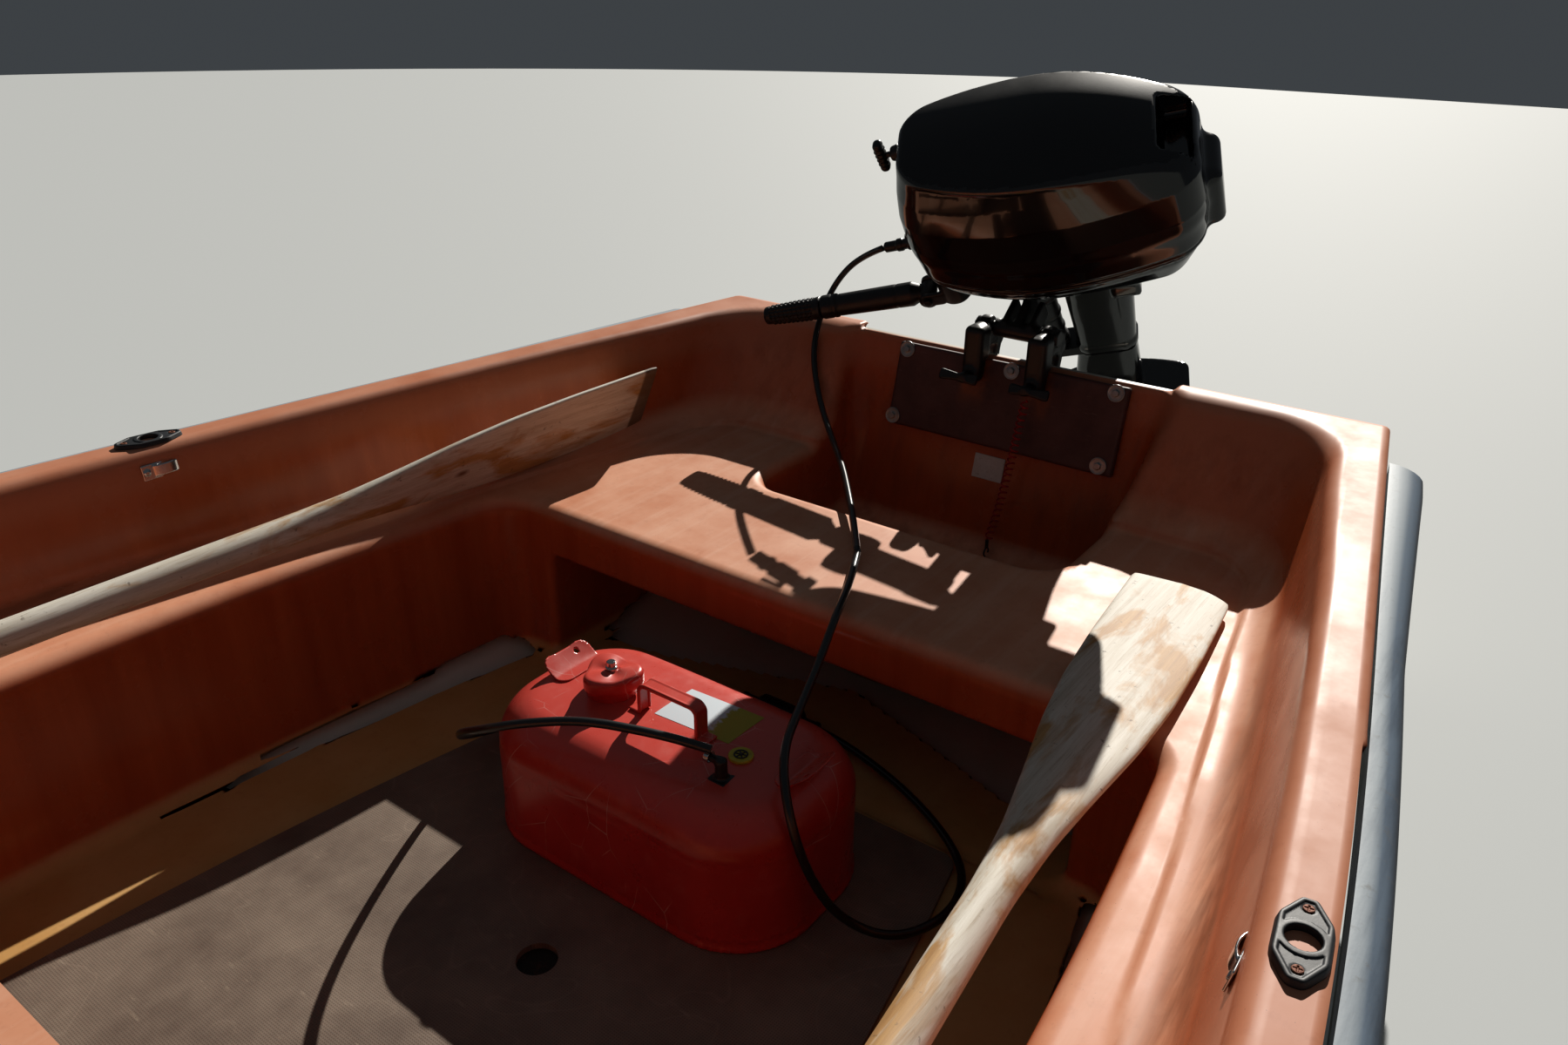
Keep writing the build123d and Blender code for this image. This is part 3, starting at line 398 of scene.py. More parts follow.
def rows_at(rows, v):
    # the columns of a table at v, by its first column
    rows = np.array(rows, float)
    return [np.interp(v, rows[:, 0], rows[:, k]) for k in range(1, rows.shape[1])]


# The lifting hole of the sole board, under which shade is painted on the sole
HOLE_X, HOLE_Y, HOLE_HALF = -.847, .0215, .034


def gelcoat():
    m = Nodes("inner_gelcoat")
    x, y, z = m.xyz()
    up = m.up()
    ay = m.math("ABSOLUTE", y)
    big = m.noise(2.1, 6, 0.62)
    cloud = m.noise(9, 5, 0.6)
    fine = m.noise(60, 6, 0.7)
    streak = m.noise((26, 26, 1.6), 5, 0.6)
    along = m.noise((2.2, 34, 22), 5, 0.62)
    side = m.mix(m.ramp(streak, 0.3, 0.72), (172, 78, 38), (196, 98, 54))
    side = m.mix(m.ramp(big, 0.42, 0.7, 0.5), side, (150, 66, 34))
    flat = m.mix(m.ramp(cloud, 0.3, 0.7), (212, 140, 106), (226, 166, 134))
    flat = m.mix(m.ramp(along, 0.5, 0.78, 0.5), flat, (234, 188, 162))
    # Up-facing faces take the pale tone and side faces the deeper orange: partly sun bleaching, partly
    # painted light, with the tops coloured as if sunlit and the sides as if shaded.
    wear_and_painted_light = m.math("ADD", m.step(up, 0.25, 0.95), m.mul(m.math("SUBTRACT", big, 0.5), 0.5), clamp=True)
    color = m.mix(wear_and_painted_light, side, flat)
    # a dirty brown strip where the benches meet the sides
    grime = m.mul(m.band(z, 0.222, 0.262, 0.012), m.ramp(along, 0.36, 0.6, 0.85),
                  m.step(ay, 0.60, 0.72))
    color = m.mix(grime, color, (120, 66, 40))
    color = m.mix(m.mul(m.step(z, .33, .37), 0.6), color, (190, 118, 88))
    # painted shade: the sole under the board's lifting hole is coloured near black
    hole_shade = m.mul(m.band(x, HOLE_X - HOLE_HALF, HOLE_X + HOLE_HALF, .002),
                 m.band(y, HOLE_Y - HOLE_HALF, HOLE_Y + HOLE_HALF, .002), m.step(z, -.055, -.058))
    # rust wash and grime under the motor and in the well
    stern = m.mul(m.step(x, -1.86, -2.02), m.step(z, 0.42, 0.30), m.ramp(streak, 0.45, 0.7, 0.5))
    color = m.mix(stern, color, (104, 44, 30))
    # ochre sole
    sole = m.step(z, -0.040, -0.058)
    sand = m.mix(m.ramp(cloud, 0.3, 0.75), (200, 150, 88), (214, 170, 112))
    color = m.mix(sole, color, sand)
    # painted shade in the lifting hole
    color = m.mix(hole_shade, color, (26, 18, 12))
    speck = m.ramp(m.voro(150), 0.03, 0.09, 0.0, 0.75)
    color = m.mix(m.mul(speck, m.step(m.noise(7, 2), 0.5, 0.62)), color, (96, 56, 38))
    color = m.mix(m.ramp(fine, 0.55, 0.8, 0.25), color, (150, 82, 54))
    # leather grain on the aft thwart
    panel = m.mul(m.band(x, -1.650, -1.388, 0.004), m.step(ay, 0.419, 0.415), m.step(z, 0.222, 0.225))
    color = m.mix(m.mul(panel, 0.55), color, (206, 142, 116))
    grain = m.voro(210, feature="DISTANCE_TO_EDGE")
    inner = m.mul(m.band(x, -1.646, -1.392, 0.004), m.step(ay, 0.415, 0.411))
    edge = m.math("SUBTRACT", panel, inner, clamp=True)
    color = m.mix(m.mul(edge, 0.6), color, (236, 190, 166))
    leather = m.mul(m.ramp(grain, 0.0, 0.12), panel)
    height = m.linear(m.noise(26, 3), 0.25, leather)
    normal = m.bump(height, 0.35, 0.0007)
    rough = m.math("ADD", m.mul(wear_and_painted_light, 0.24), m.mul(cloud, 0.50))
    return m.done(color=color, rough=rough, normal=normal, spec=0.28)


def layered(name, base, second, third=None, rough=(0.3, 0.5), third_cut=(0.6, 0.72), scale=14, metal=0.0,
            bump=0.08, coat=0.0):
    # base colour with cloudy second tone, finer third tone, uneven roughness and slight relief
    m = Nodes(name)
    n = m.noise(scale, 6, 0.62)
    f = m.noise(160, 5, 0.65)
    c = m.mix(m.ramp(n, 0.45, 0.7), base, second)
    if third:
        c = m.mix(m.ramp(f, *third_cut, 0.8), c, third)
    r = m.linear(n, rough[1] - rough[0], rough[0])
    return m.done(color=c, rough=r, metal=metal, normal=m.bump(f, bump, 0.0006), coat=coat)


def tank_paint():
    m = Nodes("tank_red")
    big = m.noise(7, 5, 0.6)
    n = m.noise(30, 6, 0.65)
    c = m.mix(m.ramp(big, 0.35, 0.7), (176, 24, 22), (196, 48, 40))
    # painted light: up-facing faces are lightened towards a sunlit pink
    c = m.mix(m.mul(m.step(m.up(), 0.3, 0.95), 0.7), c, (218, 84, 72))
    c = m.mix(m.ramp(n, 0.56, 0.8, 0.4), c, (214, 104, 92))
    warp = m.scaled((1, 1, 0.6), r=(0.3, 0.2, 0.5))
    lines = m.ramp(m.voro(17, vec=warp, feature="DISTANCE_TO_EDGE"), 0.0, 0.010, 0.0, 1.0)
    where = m.ramp(m.noise(9, 3), 0.52, 0.60)
    c = m.mix(m.mul(lines, where, 0.75), c, (220, 172, 164))
    scuff = m.ramp(m.noise((220, 40, 90), 8, 0.75, r=(0, 0, 0.5)), 0.62, 0.7, 0.8)
    c = m.mix(m.mul(scuff, m.ramp(m.noise(5, 2), 0.52, 0.62)), c, (206, 120, 110))
    rust = m.ramp(m.noise(55, 6, 0.7), 0.70, 0.76, 0.8)
    c = m.mix(rust, c, (92, 26, 18))
    r = m.linear(n, 0.35, 0.14)
    return m.done(color=c, rough=r, normal=m.bump(n, 0.07, 0.0008), coat=0.25, coat_rough=0.2)


def oar_wood(heading, band=None):
    m = Nodes("oar_wood")
    turn = math.radians(-heading)
    grain = m.noise((4, 85, 70), 7, 0.66, r=(0, 0, turn), dist=0.4)
    patch = m.noise((5, 15, 12), 5, 0.6, r=(0, 0, turn), dist=0.6)
    fine = m.noise((14, 330, 260), 6, 0.7, r=(0, 0, turn))
    white = m.mix(m.ramp(grain, 0.35, 0.7), (206, 196, 178), (236, 231, 220))
    wood = m.mix(m.ramp(grain, 0.3, 0.65), (166, 116, 62), (206, 160, 98))
    c = m.mix(m.ramp(patch, 0.50, 0.60, 0.95), white, wood)
    knot = m.ramp(m.voro(1.0, vec=m.scaled((5.2, 13, 9), r=(0, 0, turn))), 0.035, 0.10, 0.0, 0.9)
    c = m.mix(knot, c, (110, 66, 34))
    c = m.mix(m.ramp(fine, 0.52, 0.72, 0.5), c, (150, 122, 88))
    c = m.mix(m.ramp(m.noise(90, 4), 0.66, 0.74, 0.7), c, (84, 66, 50))
    if band:
        x = m.xyz()[0]
        c = m.mix(m.mul(m.step(x, band + 0.004, band - 0.004), 0.9), c, (98, 74, 54))
    return m.done(color=c, rough=0.62, normal=m.bump(fine, 0.35, 0.0008))


def board_film():
    m = Nodes("board_film")
    weave = m.mul(*(m.node("TexWave", {"Vector": m.co, "Scale": 95}, 1, wave_type="BANDS", bands_direction=d)
                    for d in "XY"))
    dust = m.noise(5, 7, 0.66)
    c = m.mix(m.ramp(dust, 0.36, 0.72), (104, 88, 77), (146, 128, 112))
    c = m.mix(m.ramp(weave, 0.2, 0.7, 0.45), c, (72, 57, 50))
    arc = m.noise(3.2, 2, 0.5, dist=1.4)
    rings = m.mul(m.band(arc, 0.50, 0.512, 0.006), m.ramp(dust, 0.4, 0.6, 0.4))
    c = m.mix(rings, c, (150, 132, 116))
    scuff = m.ramp(m.noise((60, 12, 10), 7, 0.7, r=(0, 0, 0.6)), 0.62, 0.7, 0.6)
    c = m.mix(scuff, c, (160, 142, 124))
    return m.done(color=c, rough=m.linear(dust, 0.3, 0.35),
                  normal=m.bump(weave, 0.3, 0.0005))


def pad_board():
    m = Nodes("pad_board")
    _, y, z = m.xyz()
    n = m.noise(12, 6, 0.65)
    c = m.mix(m.ramp(n, 0.35, 0.7), (66, 36, 34), (92, 58, 56))
    scratch = m.ramp(m.noise((10, 24, 240), 7, 0.75, r=(0.25, 0, 0)), 0.62, 0.70, 0.7)
    c = m.mix(scratch, c, (138, 104, 98))
    for place in (-0.043, 0.081):
        spot = m.mul(m.band(y, place - 0.034, place + 0.034, 0.016), m.step(z, 0.31, 0.36))
        c = m.mix(m.mul(spot, m.ramp(n, 0.35, 0.55, 0.9)), c, (140, 74, 34))
    return m.done(color=c, rough=0.5, normal=m.bump(n, 0.15, 0.001))


def label():
    m = Nodes("tank_label")
    y = m.xyz()[1]
    n = m.noise(42, 6, 0.7)
    t = m.math("ADD", m.step(y, 0.02, 0.10), m.mul(m.math("SUBTRACT", n, 0.5), 1.2))
    c = m.mix(m.step(t, 0.45, 0.6), (206, 216, 224), (170, 160, 40))
    return m.done(color=c, rough=0.45)


def rail_rubber():
    m = Nodes("rail_rubber")
    up = m.up()
    n = m.noise((6, 60, 60), 6, 0.66)
    f = m.noise(70, 5, 0.7)
    c = m.mix(m.ramp(n, 0.35, 0.7), (30, 38, 54), (56, 66, 84))
    wear_and_painted_light = m.math("ADD", m.ramp(n, 0.3, 0.62, 1.0, 0.45), m.step(m.xyz()[0], -1.3, -1.9), clamp=True)
    # The rail's top is coloured pale: partly scuffing, partly a painted highlight along its crown.
    c = m.mix(m.mul(m.step(up, 0.45, 0.93), wear_and_painted_light), c, (112, 128, 146))
    c = m.mix(m.mul(m.step(up, 0.90, 0.995), wear_and_painted_light), c, (176, 186, 194))
    c = m.mix(m.ramp(f, 0.58, 0.74, 0.5), c, (116, 112, 106))
    return m.done(color=c, rough=0.45, normal=m.bump(f, 0.15, 0.001))


def motor_gloss():
    m = Nodes("motor_black")
    n = m.noise(50, 5, 0.6)
    dust = m.ramp(m.noise(240, 4, 0.7), 0.66, 0.76, 0.5)
    c = m.mix(dust, (13, 13, 15), (70, 70, 70))
    return m.done(color=c, rough=m.linear(n, 0.14, 0.06), coat=0.5,
                  normal=m.bump(m.noise(14, 2), 0.03, 0.001))


# Finishes; in layered: up to three colours, the range of roughness, where the third colour sets in
M = {
    "gel": gelcoat(),
    "tank": tank_paint(),
    "port_oar": oar_wood(5.4),
    "starboard_oar": oar_wood(-3.3, band=-1.700),
    "board": board_film(),
    "pad": pad_board(),
    "label": label(),
    "rail": rail_rubber(),
    "motor": motor_gloss(),
    "satin": layered("motor_satin", (9, 11, 15), (13, 16, 21), (48, 50, 52), (0.3, 0.5), (0.7, 0.8),
                     bump=0.05),
    "cast": layered("motor_cast", (15, 15, 17), (26, 26, 28), (70, 60, 50), (0.28, 0.5), (0.68, 0.8),
                    bump=0.2, scale=30),
    "rubber": layered("black_rubber", (18, 18, 20), (30, 30, 32), (66, 64, 62), (0.3, 0.55), (0.68, 0.82)),
    "hose": layered("hose_rubber", (17, 17, 19), (27, 28, 31), (84, 82, 78), (0.22, 0.4), (0.72, 0.84),
                    coat=0.3),
    "plastic": layered("black_plastic", (20, 20, 22), (31, 31, 33), (80, 78, 74), (0.25, 0.42),
                       (0.7, 0.82)),
    "socket": layered("socket_plastic", (22, 25, 30), (34, 38, 44), (84, 86, 88), (0.42, 0.6),
                      (0.64, 0.8), bump=0.2),
    "zinc": layered("zinc", (158, 160, 160), (188, 190, 190), (110, 84, 62), (0.22, 0.4), (0.66, 0.76),
                    metal=0.85, scale=60),
    "bright": layered("bright_metal", (196, 198, 200), (212, 214, 216), (120, 92, 66), (0.1, 0.2),
                      (0.7, 0.8), metal=1.0, scale=40),
    "plate": layered("plate_metal", (196, 198, 194), (210, 212, 210), (120, 112, 104), (0.3, 0.5),
                     scale=60),
    "rust": layered("rusty_screw", (120, 66, 40), (86, 46, 28), (150, 110, 80), (0.5, 0.8), metal=0.3,
                    scale=120),
    "yellow": layered("yellow_dial", (196, 180, 40), (176, 160, 36), (60, 56, 20), (0.3, 0.5), scale=80),
    "red_cord": layered("red_cord", (168, 16, 18), (140, 12, 14), (196, 60, 56), (0.25, 0.4)),
    "hull": layered("hull_gelcoat", (222, 218, 206), (206, 200, 184), (150, 140, 120), (0.25, 0.45),
                    (0.66, 0.8), scale=5, coat=0.2),
    "engine": layered("engine_mass", (80, 80, 80), (60, 60, 60)),
    "prop": layered("propeller_metal", (34, 34, 36), (60, 60, 62), (130, 126, 120), (0.3, 0.5),
                    metal=0.4, scale=40),
}

# Hull form: x, half the beam at the sheer and at the bilge, heights of bilge, keel and sheer

STATIONS = [
    (-2.160, .624, .540, .005, -.032, .421),
    (-1.500, .738, .640, -.078, -.104, .411),
    (-.800, .848, .730, -.096, -.138, .405),
    (.100, .885, .755, -.098, -.150, .422),
    (.900, .775, .610, -.084, -.138, .478),
    (1.500, .530, .340, .030, -.072, .541),
    (1.900, .260, .125, .200, .110, .592),
    (2.060, .026, .014, .400, .330, .615),
]
STATION_X, *COLUMNS = zip(*STATIONS)
half_sheer, half_bilge, z_bilge, z_keel, z_sheer = (spline(STATION_X, c) for c in COLUMNS)
bench_edge = spline([-1.368, -.86, -.56, .3, 1.05], [.588, .640, .650, .640, .500])
SIDES = ((1, "port"), (-1, "starboard"))
# the transom's rake, its tangent and cosine, and the height that the grid's rows keep to the sheer
RAKE_ANGLE = math.radians(13)
RAKE, RAKE_COS = math.tan(RAKE_ANGLE), .974
SHEER_ROW = .412
QUARTER = math.radians(34)
TOP_X, TOP_Z = -2.100, .420
BENCH, SOLE = .226, -.066


def inner_face(x, z):
    top = half_sheer(x) - .042
    return top - .034 * (1 - np.clip((z - BENCH) / (z_sheer(x) - BENCH), -1, 3))


# where the lofted hull is narrower than its stations: x and by how much
NARROWER = ([-1.95, -1.8, -1.6, -1.45, 1.5, 1.6, 1.7, 1.8, 1.9],
            [.0235, .019, .007, 0, 0, .014, .0215, .014, 0])


def hull_skin(x, ay, z):
    # distance outside the hull's skin: side and bottom planes with the bilge's turn between them
    top, low, zb = half_sheer(x), half_bilge(x), z_bilge(x)
    rise, flare = z_sheer(x) - zb, top - low
    dead = zb - z_keel(x)
    side_length, bottom_length = np.hypot(rise, flare), np.hypot(low, dead)
    side = ((ay - low) * rise - (z - zb) * flare) / side_length
    bottom = ((ay - low) * dead - (z - zb) * low) / bottom_length
    bend = (rise * low - flare * dead) / (side_length * bottom_length)
    turn = .42 * mn(side_length, bottom_length) * bend
    return both(side, bottom, turn) + np.interp(x, *NARROWER)


def liner(x, y, z):
    ay = abs(y)
    skin = hull_skin(x, ay, z)
    # air above the benches
    side = (ay - inner_face(x, z)) * 0.99
    quarter = -(x - (TOP_X + .050 + (TOP_Z - z) * math.tan(QUARTER))) * math.cos(QUARTER)
    upper = both(both(side, skin + .034, .02), quarter, .10)
    e = ay - bench_edge(x)
    bead = .0065 * bell(e - .021, .011) - .0035 * bell(e - .047, .010)
    bead = bead * np.clip((x + 1.32) / .08, 0, 1) * np.clip((1.02 - x) / .05, 0, 1)
    upper = both(upper, BENCH + bead - z, .045)
    # the ledge between bench and side
    ledge = mx(both(side + .055, quarter + .02, .08), skin + .034)
    ledge = both(ledge, BENCH - .006 - z, .006)
    upper = either(upper, ledge, .004)
    # the cockpit between the benches
    wall = (ay - (bench_edge(x) - .018 * (BENCH - z) / .29)) * 0.998
    lower = both(wall, -(x + 1.368), .060)
    lower = both(lower, SOLE - z, .030)
    lower = mx(lower, x - 1.050)
    # under the aft thwart
    under = both(both(ay - .485, -(x + 1.655), .05), z - .134, .02)
    under = both(under, SOLE - z, .03)
    under = mx(under, x + 1.34)
    # the splash well and the recess in the transom
    t = np.clip((z - BENCH) / (TOP_Z - .010 - BENCH), 0, 1)
    half = .290 + .032 * t
    face = -(x - (TOP_X + .031 + (TOP_Z - z) * RAKE)) * RAKE_COS
    well = both(ay - half, face, .035)
    well = both(well, x + 1.690, .060)
    well = both(well, .060 - z, .035)
    air = either(upper, well, .030)
    air = either(air, lower, .026)
    air = either(air, under, .012)
    air = np.where(x > 1.050, mx(air, .300 - z), air)
    # the moulding's outer limits
    outer = half_sheer(x) + .018
    body = both(-air, z - z_sheer(x), .022)
    body = both(body, ay - outer, .012)
    body = both(body, -(x - (TOP_X - .006)), .012)
    dip = both(ay - .322, TOP_Z - .010 - z, .02)
    body = mx(body, -mx(dip, x + 1.95))
    inside = mx(skin + .014, -(x - (TOP_X + .012 + (TOP_Z - z) * RAKE)))
    flange = z_sheer(x) - .012 - z
    return mx(body, mn(inside, mx(flange, ay - outer)))


# half the beam of the grid whose sides run with the sheer
FAIR = .85


def faired(f):
    return lambda x, v, w: f(x, v * half_sheer(x) / FAIR, w + z_sheer(x) - SHEER_ROW)


grid_x = joined((-2.112, -1.30, .0093), (-1.30, -.20, .020), (-.20, 1.0, .04), (1.0, 1.12, .012),
                (1.12, 1.96, .028))
V, Q = nets(faired(liner), grid_x, steps(-.975, .975, .0090), joined((-.30, -.11, .02), (-.11, .434, .0090)))
V[:, 1] *= half_sheer(V[:, 0]) / FAIR
V[:, 2] += z_sheer(V[:, 0]) - SHEER_ROW
SPLITS = [-3, -1.372, -.20, 1.05, 3]
NAMES = ["liner_stern", "liner_mid", "liner_fore", "liner_bow"]
STANDS = [("stern_moulding", "aft_thwart", "transom_cap"),
          ("side_bench_port", "side_bench_starboard", "sole_moulding"),
          ("gunwale_port", "gunwale_starboard"), ("bow_seat",)]
centre = V[Q].mean(1)[:, 0]
normals = unit_normals(liner, V)
for name, start, end, nodes in zip(NAMES, SPLITS, SPLITS[1:], STANDS):
    q = Q[(centre >= start) & (centre < end)]
    used, flat = np.unique(q, return_inverse=True)
    o = add(name, V[used], flat.reshape(q.shape), "gel", "inner_gelcoat", nodes)
    o.data.normals_split_custom_set_from_vertices([tuple(n) for n in normals[used]])

# Rub rails: a D section swept along the sheer, hollow at its aft end


def rail(sign):
    k = 13
    a = np.linspace(-math.pi / 2, math.pi / 2, k)
    xs = np.linspace(-1.955, 2.036, 170)
    path = np.stack([xs, sign * (half_sheer(xs) + .0188), z_sheer(xs) - .028], 1)
    width = .0325 + .017 * np.clip((-1.40 - xs) / .50, 0, 1)
    rings = [np.stack([np.full(k, p[0]), p[1] + sign * (np.cos(a) * w), p[2] + np.sin(a) * .0225], 1)
             for p, w in zip(path, width)]
    last = (len(xs) - 1) * k
    faces = ring_faces(len(xs), k) + [tuple(last + j for j in range(k))]
    # the open aft end: an inner skin going in, closed at its end
    base = last + k
    for i in (0, 2):
        c = path[i] * (1, 0, 1) + (0, path[i, 1] + sign * .013, 0)
        rings.append(c + (rings[i] - c) * (1, .72, .72))
    for inner, outer in ((base, 0), (base + k, base)):
        faces += [(inner + j, inner + (j + 1) % k, outer + (j + 1) % k, outer + j) for j in range(k)]
    faces.append(tuple(base + k + j for j in range(k)))
    if sign > 0:
        faces = [f[::-1] for f in faces]
    return np.concatenate(rings), faces


SHARP = math.radians(50)
for sign, side in SIDES:
    o = add("rail_" + side, *rail(sign), "rail", "rail_rubber", ["rub_rail_" + side])
    o.data.set_sharp_from_angle(angle=SHARP)

# Cords

HOSE_R = .006
HOSE_BOAT = [
    (-1.067, .123, .174), (-1.056, .096, .180), (-1.033, .040, .186), (-1.000, -.032, .190),
    (-.958, -.096, .182), (-.938, -.160, .155), (-.955, -.226, .112), (-.998, -.286, .056),
    (-1.058, -.338, .002), (-1.130, -.366, -.040), (-1.222, -.366, -.047), (-1.318, -.336, -.047),
    (-1.392, -.270, -.047), (-1.424, -.190, -.040), (-1.430, -.110, -.036), (-1.430, .040, -.036),
    (-1.424, .110, -.040),
    (-1.400, .210, -.047), (-1.350, .310, -.047), (-1.290, .380, -.047), (-1.210, .400, -.047),
    (-1.130, .366, -.046), (-1.094, .306, -.020), (-1.060, .278, .060), (-1.058, .248, .140),
    (-1.104, .204, .184), (-1.190, .170, .190), (-1.280, .138, .202), (-1.350, .116, .232),
    (-1.440, .082, .238), (-1.530, .036, .235)]
HOSE_STERN = [
    (-1.531, .0354, .235), (-1.610, -.022, .236), (-1.700, -.092, .240), (-1.800, -.172, .242),
    (-1.890, -.258, .250), (-1.950, -.330, .296), (-2.000, -.382, .366), (-2.044, -.394, .434),
    (-2.068, -.372, .502), (-2.074, -.324, .552), (-2.054, -.262, .580)]


def nurbs(name, points, resolution):
    cu = bpy.data.curves.new(name, "CURVE")
    cu.dimensions = "3D"
    s = cu.splines.new("NURBS")
    s.points.add(len(points) - 1)
    for p, q in zip(s.points, points):
        p.co = (*q, 1)
    s.order_u = 3
    s.use_endpoint_u = True
    cu.resolution_u = resolution
    return cu


def curve_path(points, resolution=10):
    # the line of a NURBS curve through control points, as dense points
    o = link(bpy.data.objects.new("path", nurbs("path", points, resolution)))
    me = bpy.data.meshes.new_from_object(o)
    line = np.array([tuple(v.co) for v in me.vertices])
    bpy.data.objects.remove(o)
    bpy.data.meshes.remove(me)
    return line


def length_of(line):
    return float(np.linalg.norm(np.diff(line, axis=0), axis=1).sum())


hose_curve = nurbs("hose_boat", HOSE_BOAT, 8)
hose_curve.bevel_depth = HOSE_R
hose_curve.bevel_resolution = 5
hose_curve.use_fill_caps = True
hose_curve.materials.append(M["hose"])
hose = link(bpy.data.objects.new("hose_boat", hose_curve))
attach(hose, "boat")
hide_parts("fuel_hose_lower", "fuel_hose_middle")


def bulb_radius(t):
    # primer bulb from end to end: collar, waist, ribbed barrel, waist, collar
    a = abs(t)
    if a > .046:
        return .0092 + .0012 * (a > .068)
    return .0092 + .0105 * math.sin(math.pi / 2 * min(1, (.046 - a) / .014)) + .0006 * math.cos(t * 900)


BULB_RINGS = 90
ts = np.linspace(-.0738, .0738, BULB_RINGS)
bulb_line = np.stack([np.full(BULB_RINGS, -1.430), -.035 + ts, np.full(BULB_RINGS, -.036)], 1)
bulb = add("bulb", *sweep_rings(bulb_line, lambda i: circle(bulb_radius(float(ts[i])), 28)), "rubber",
           "hose_rubber", ["primer_bulb"])
length_of(curve_path(HOSE_BOAT))

# The stern hose is parted where it leaves the swivel for the motor
stern_line = curve_path(HOSE_STERN)
cut = int(np.argmin(np.linalg.norm(stern_line - np.array((-2.042, -.388, .432)), axis=1)))
for name, line, ends in (("hose_stern", stern_line[:cut + 1], ("boat", "swivel")),
                         ("hose_motor", stern_line[cut:], ("swivel", "motor"))):
    o = add(name, *tube(line, HOSE_R), "hose", "hose_rubber", ["fuel_hose_upper"], body=None)
    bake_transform(o)

# The red coiled lanyard: a helix round a hanging line
LANYARD_LINE = [(-2.004, .080, .366), (-1.997, .077, .330), (-1.990, .074, .280), (-1.984, .066, .210),
                (-1.976, .058, .140), (-1.964, .050, .090)]
COIL_R, COIL_CORD_R, TURNS = .0070, .0016, 24
axis_line = curve_path(LANYARD_LINE, 24)
along_axis = np.concatenate([[0], np.cumsum(np.linalg.norm(np.diff(axis_line, axis=0), axis=1))])
helix = []
count = TURNS * 12
for i in range(count + 1):
    s = along_axis[-1] * i / count
    p = np.array([np.interp(s, along_axis, axis_line[:, k]) for k in range(3)])
    a = 2 * math.pi * TURNS * i / count
    r = COIL_R * min(1, i / 8, (count - i) / 8)
    helix.append((p[0] + r * math.cos(a), p[1] + r * math.sin(a), p[2]))
coil_line = curve_path(helix, 3)
lanyard = add("lanyard_coil", *tube(coil_line, COIL_CORD_R, 10), "red_cord", "red_cord", ["lanyard"])
END = np.array(helix[-1])


def hook(x, y, z):
    body = rod(x, y, z, END + (0, 0, .004), END - (0, 0, .012), .0034, e=.001)
    eye = np.hypot(np.hypot(x - END[0], z - END[2] + .021) - .0085, y - END[1]) - .0017
    return either(body, eye, .002)


hook_piece = solid("lanyard_hook", hook, END - (.013, .006, .034), END + (.013, .006, .007), .0011, "plastic",
                   "black_plastic")

# Fittings on the hull

pad_x = TOP_X + .030 / math.cos(RAKE_ANGLE)


def on_transom(V):
    # local x out of the transom's inner face, y to port, z up the rake from the transom's top
    a = RAKE_ANGLE
    out = V.copy()
    out[:, 0] = pad_x + V[:, 0] * math.cos(a) - V[:, 2] * math.sin(a)
    out[:, 2] = TOP_Z + V[:, 0] * math.sin(a) + V[:, 2] * math.cos(a)
    return out


def pad(x, y, z):
    return rbox(x, y, z, (.0075, .019, -.094), (.0075, .229, .080), .004)


solid("pad", pad, (-.004, -.216, -.180), (.020, .254, -.008), .004, "pad", "pad_board", ["transom_pad"],
      on_transom)

BOLTS = [(-.192, .027), (.226, .027), (-.200, .158), (.222, .158), (.027, .027)]


def bolt(x, y, z):
    r = np.hypot(y, z)
    washer = slab(r - .0155, x, .0162, .0012, .0007)
    lip = slab(near(r, .0142, .0012), x, .0172, .0009, .0005)
    head = both(r - hexagon(np.arctan2(z, y), .0058), near(x, .0195, .0034), .0010)
    return mn(washer, lip, head)


for i, (by, down) in enumerate(BOLTS):
    solid("bolt_%d" % i, lambda x, y, z: bolt(x, y - by, z + down), (.0135, by - .0175, -down - .0175),
          (.0245, by + .0175, -down + .0175), .00085, "zinc", "zinc", ["pad_bolts"], on_transom)

solid("plate", lambda x, y, z: rbox(x, y, z, (.0012, .012, -.214), (.0009, .031, .023), .0008),
      (-.0008, -.022, -.240), (.0032, .046, -.188), .0012, "plate", "plate_metal", ["blank_plate"],
      on_transom)

# where the rowlock sockets and strap brackets stand along the boat
SOCKET_X = -.907


def socket_frame(sign):
    y = sign * (float(half_sheer(SOCKET_X)) - .012)
    turn = sign * math.atan2(float(half_sheer(SOCKET_X + .1) - half_sheer(SOCKET_X - .1)), .2)
    z = float(z_sheer(SOCKET_X))

    def place(V):
        c, s = math.cos(turn), math.sin(turn)
        return np.stack([SOCKET_X + V[:, 0] * c - V[:, 1] * s, y + V[:, 0] * s + V[:, 1] * c, z + V[:, 2]], 1)
    return place


def socket(x, y, z):
    ax, ay = abs(x), abs(y)
    plan = both(ay - .0218, ax * .500 + ay * .866 - .0300, .004)
    plan = both(plan, ax * .866 + ay * .500 - .0445, .004)
    plan = both(plan, ax - .0478, .003)
    r = np.hypot(x, y)
    body = slab(plan + mx(z, 0) * .35, z, .0030, .0038, .0014)
    dish = both(plan + .0062, .0056 - z, .0008)
    rim = slab(near(r, .0158, .0022), z, .0035, .0034, .0010)
    body = mn(mx(body, -mx(dish, .0195 - r)), rim)
    body = mx(body, .0136 - r)
    for sx in (-.034, .034):
        rs = np.hypot(x - sx, y)
        body = mx(body, -mx(rs - .0052, .0050 - z))
    return body


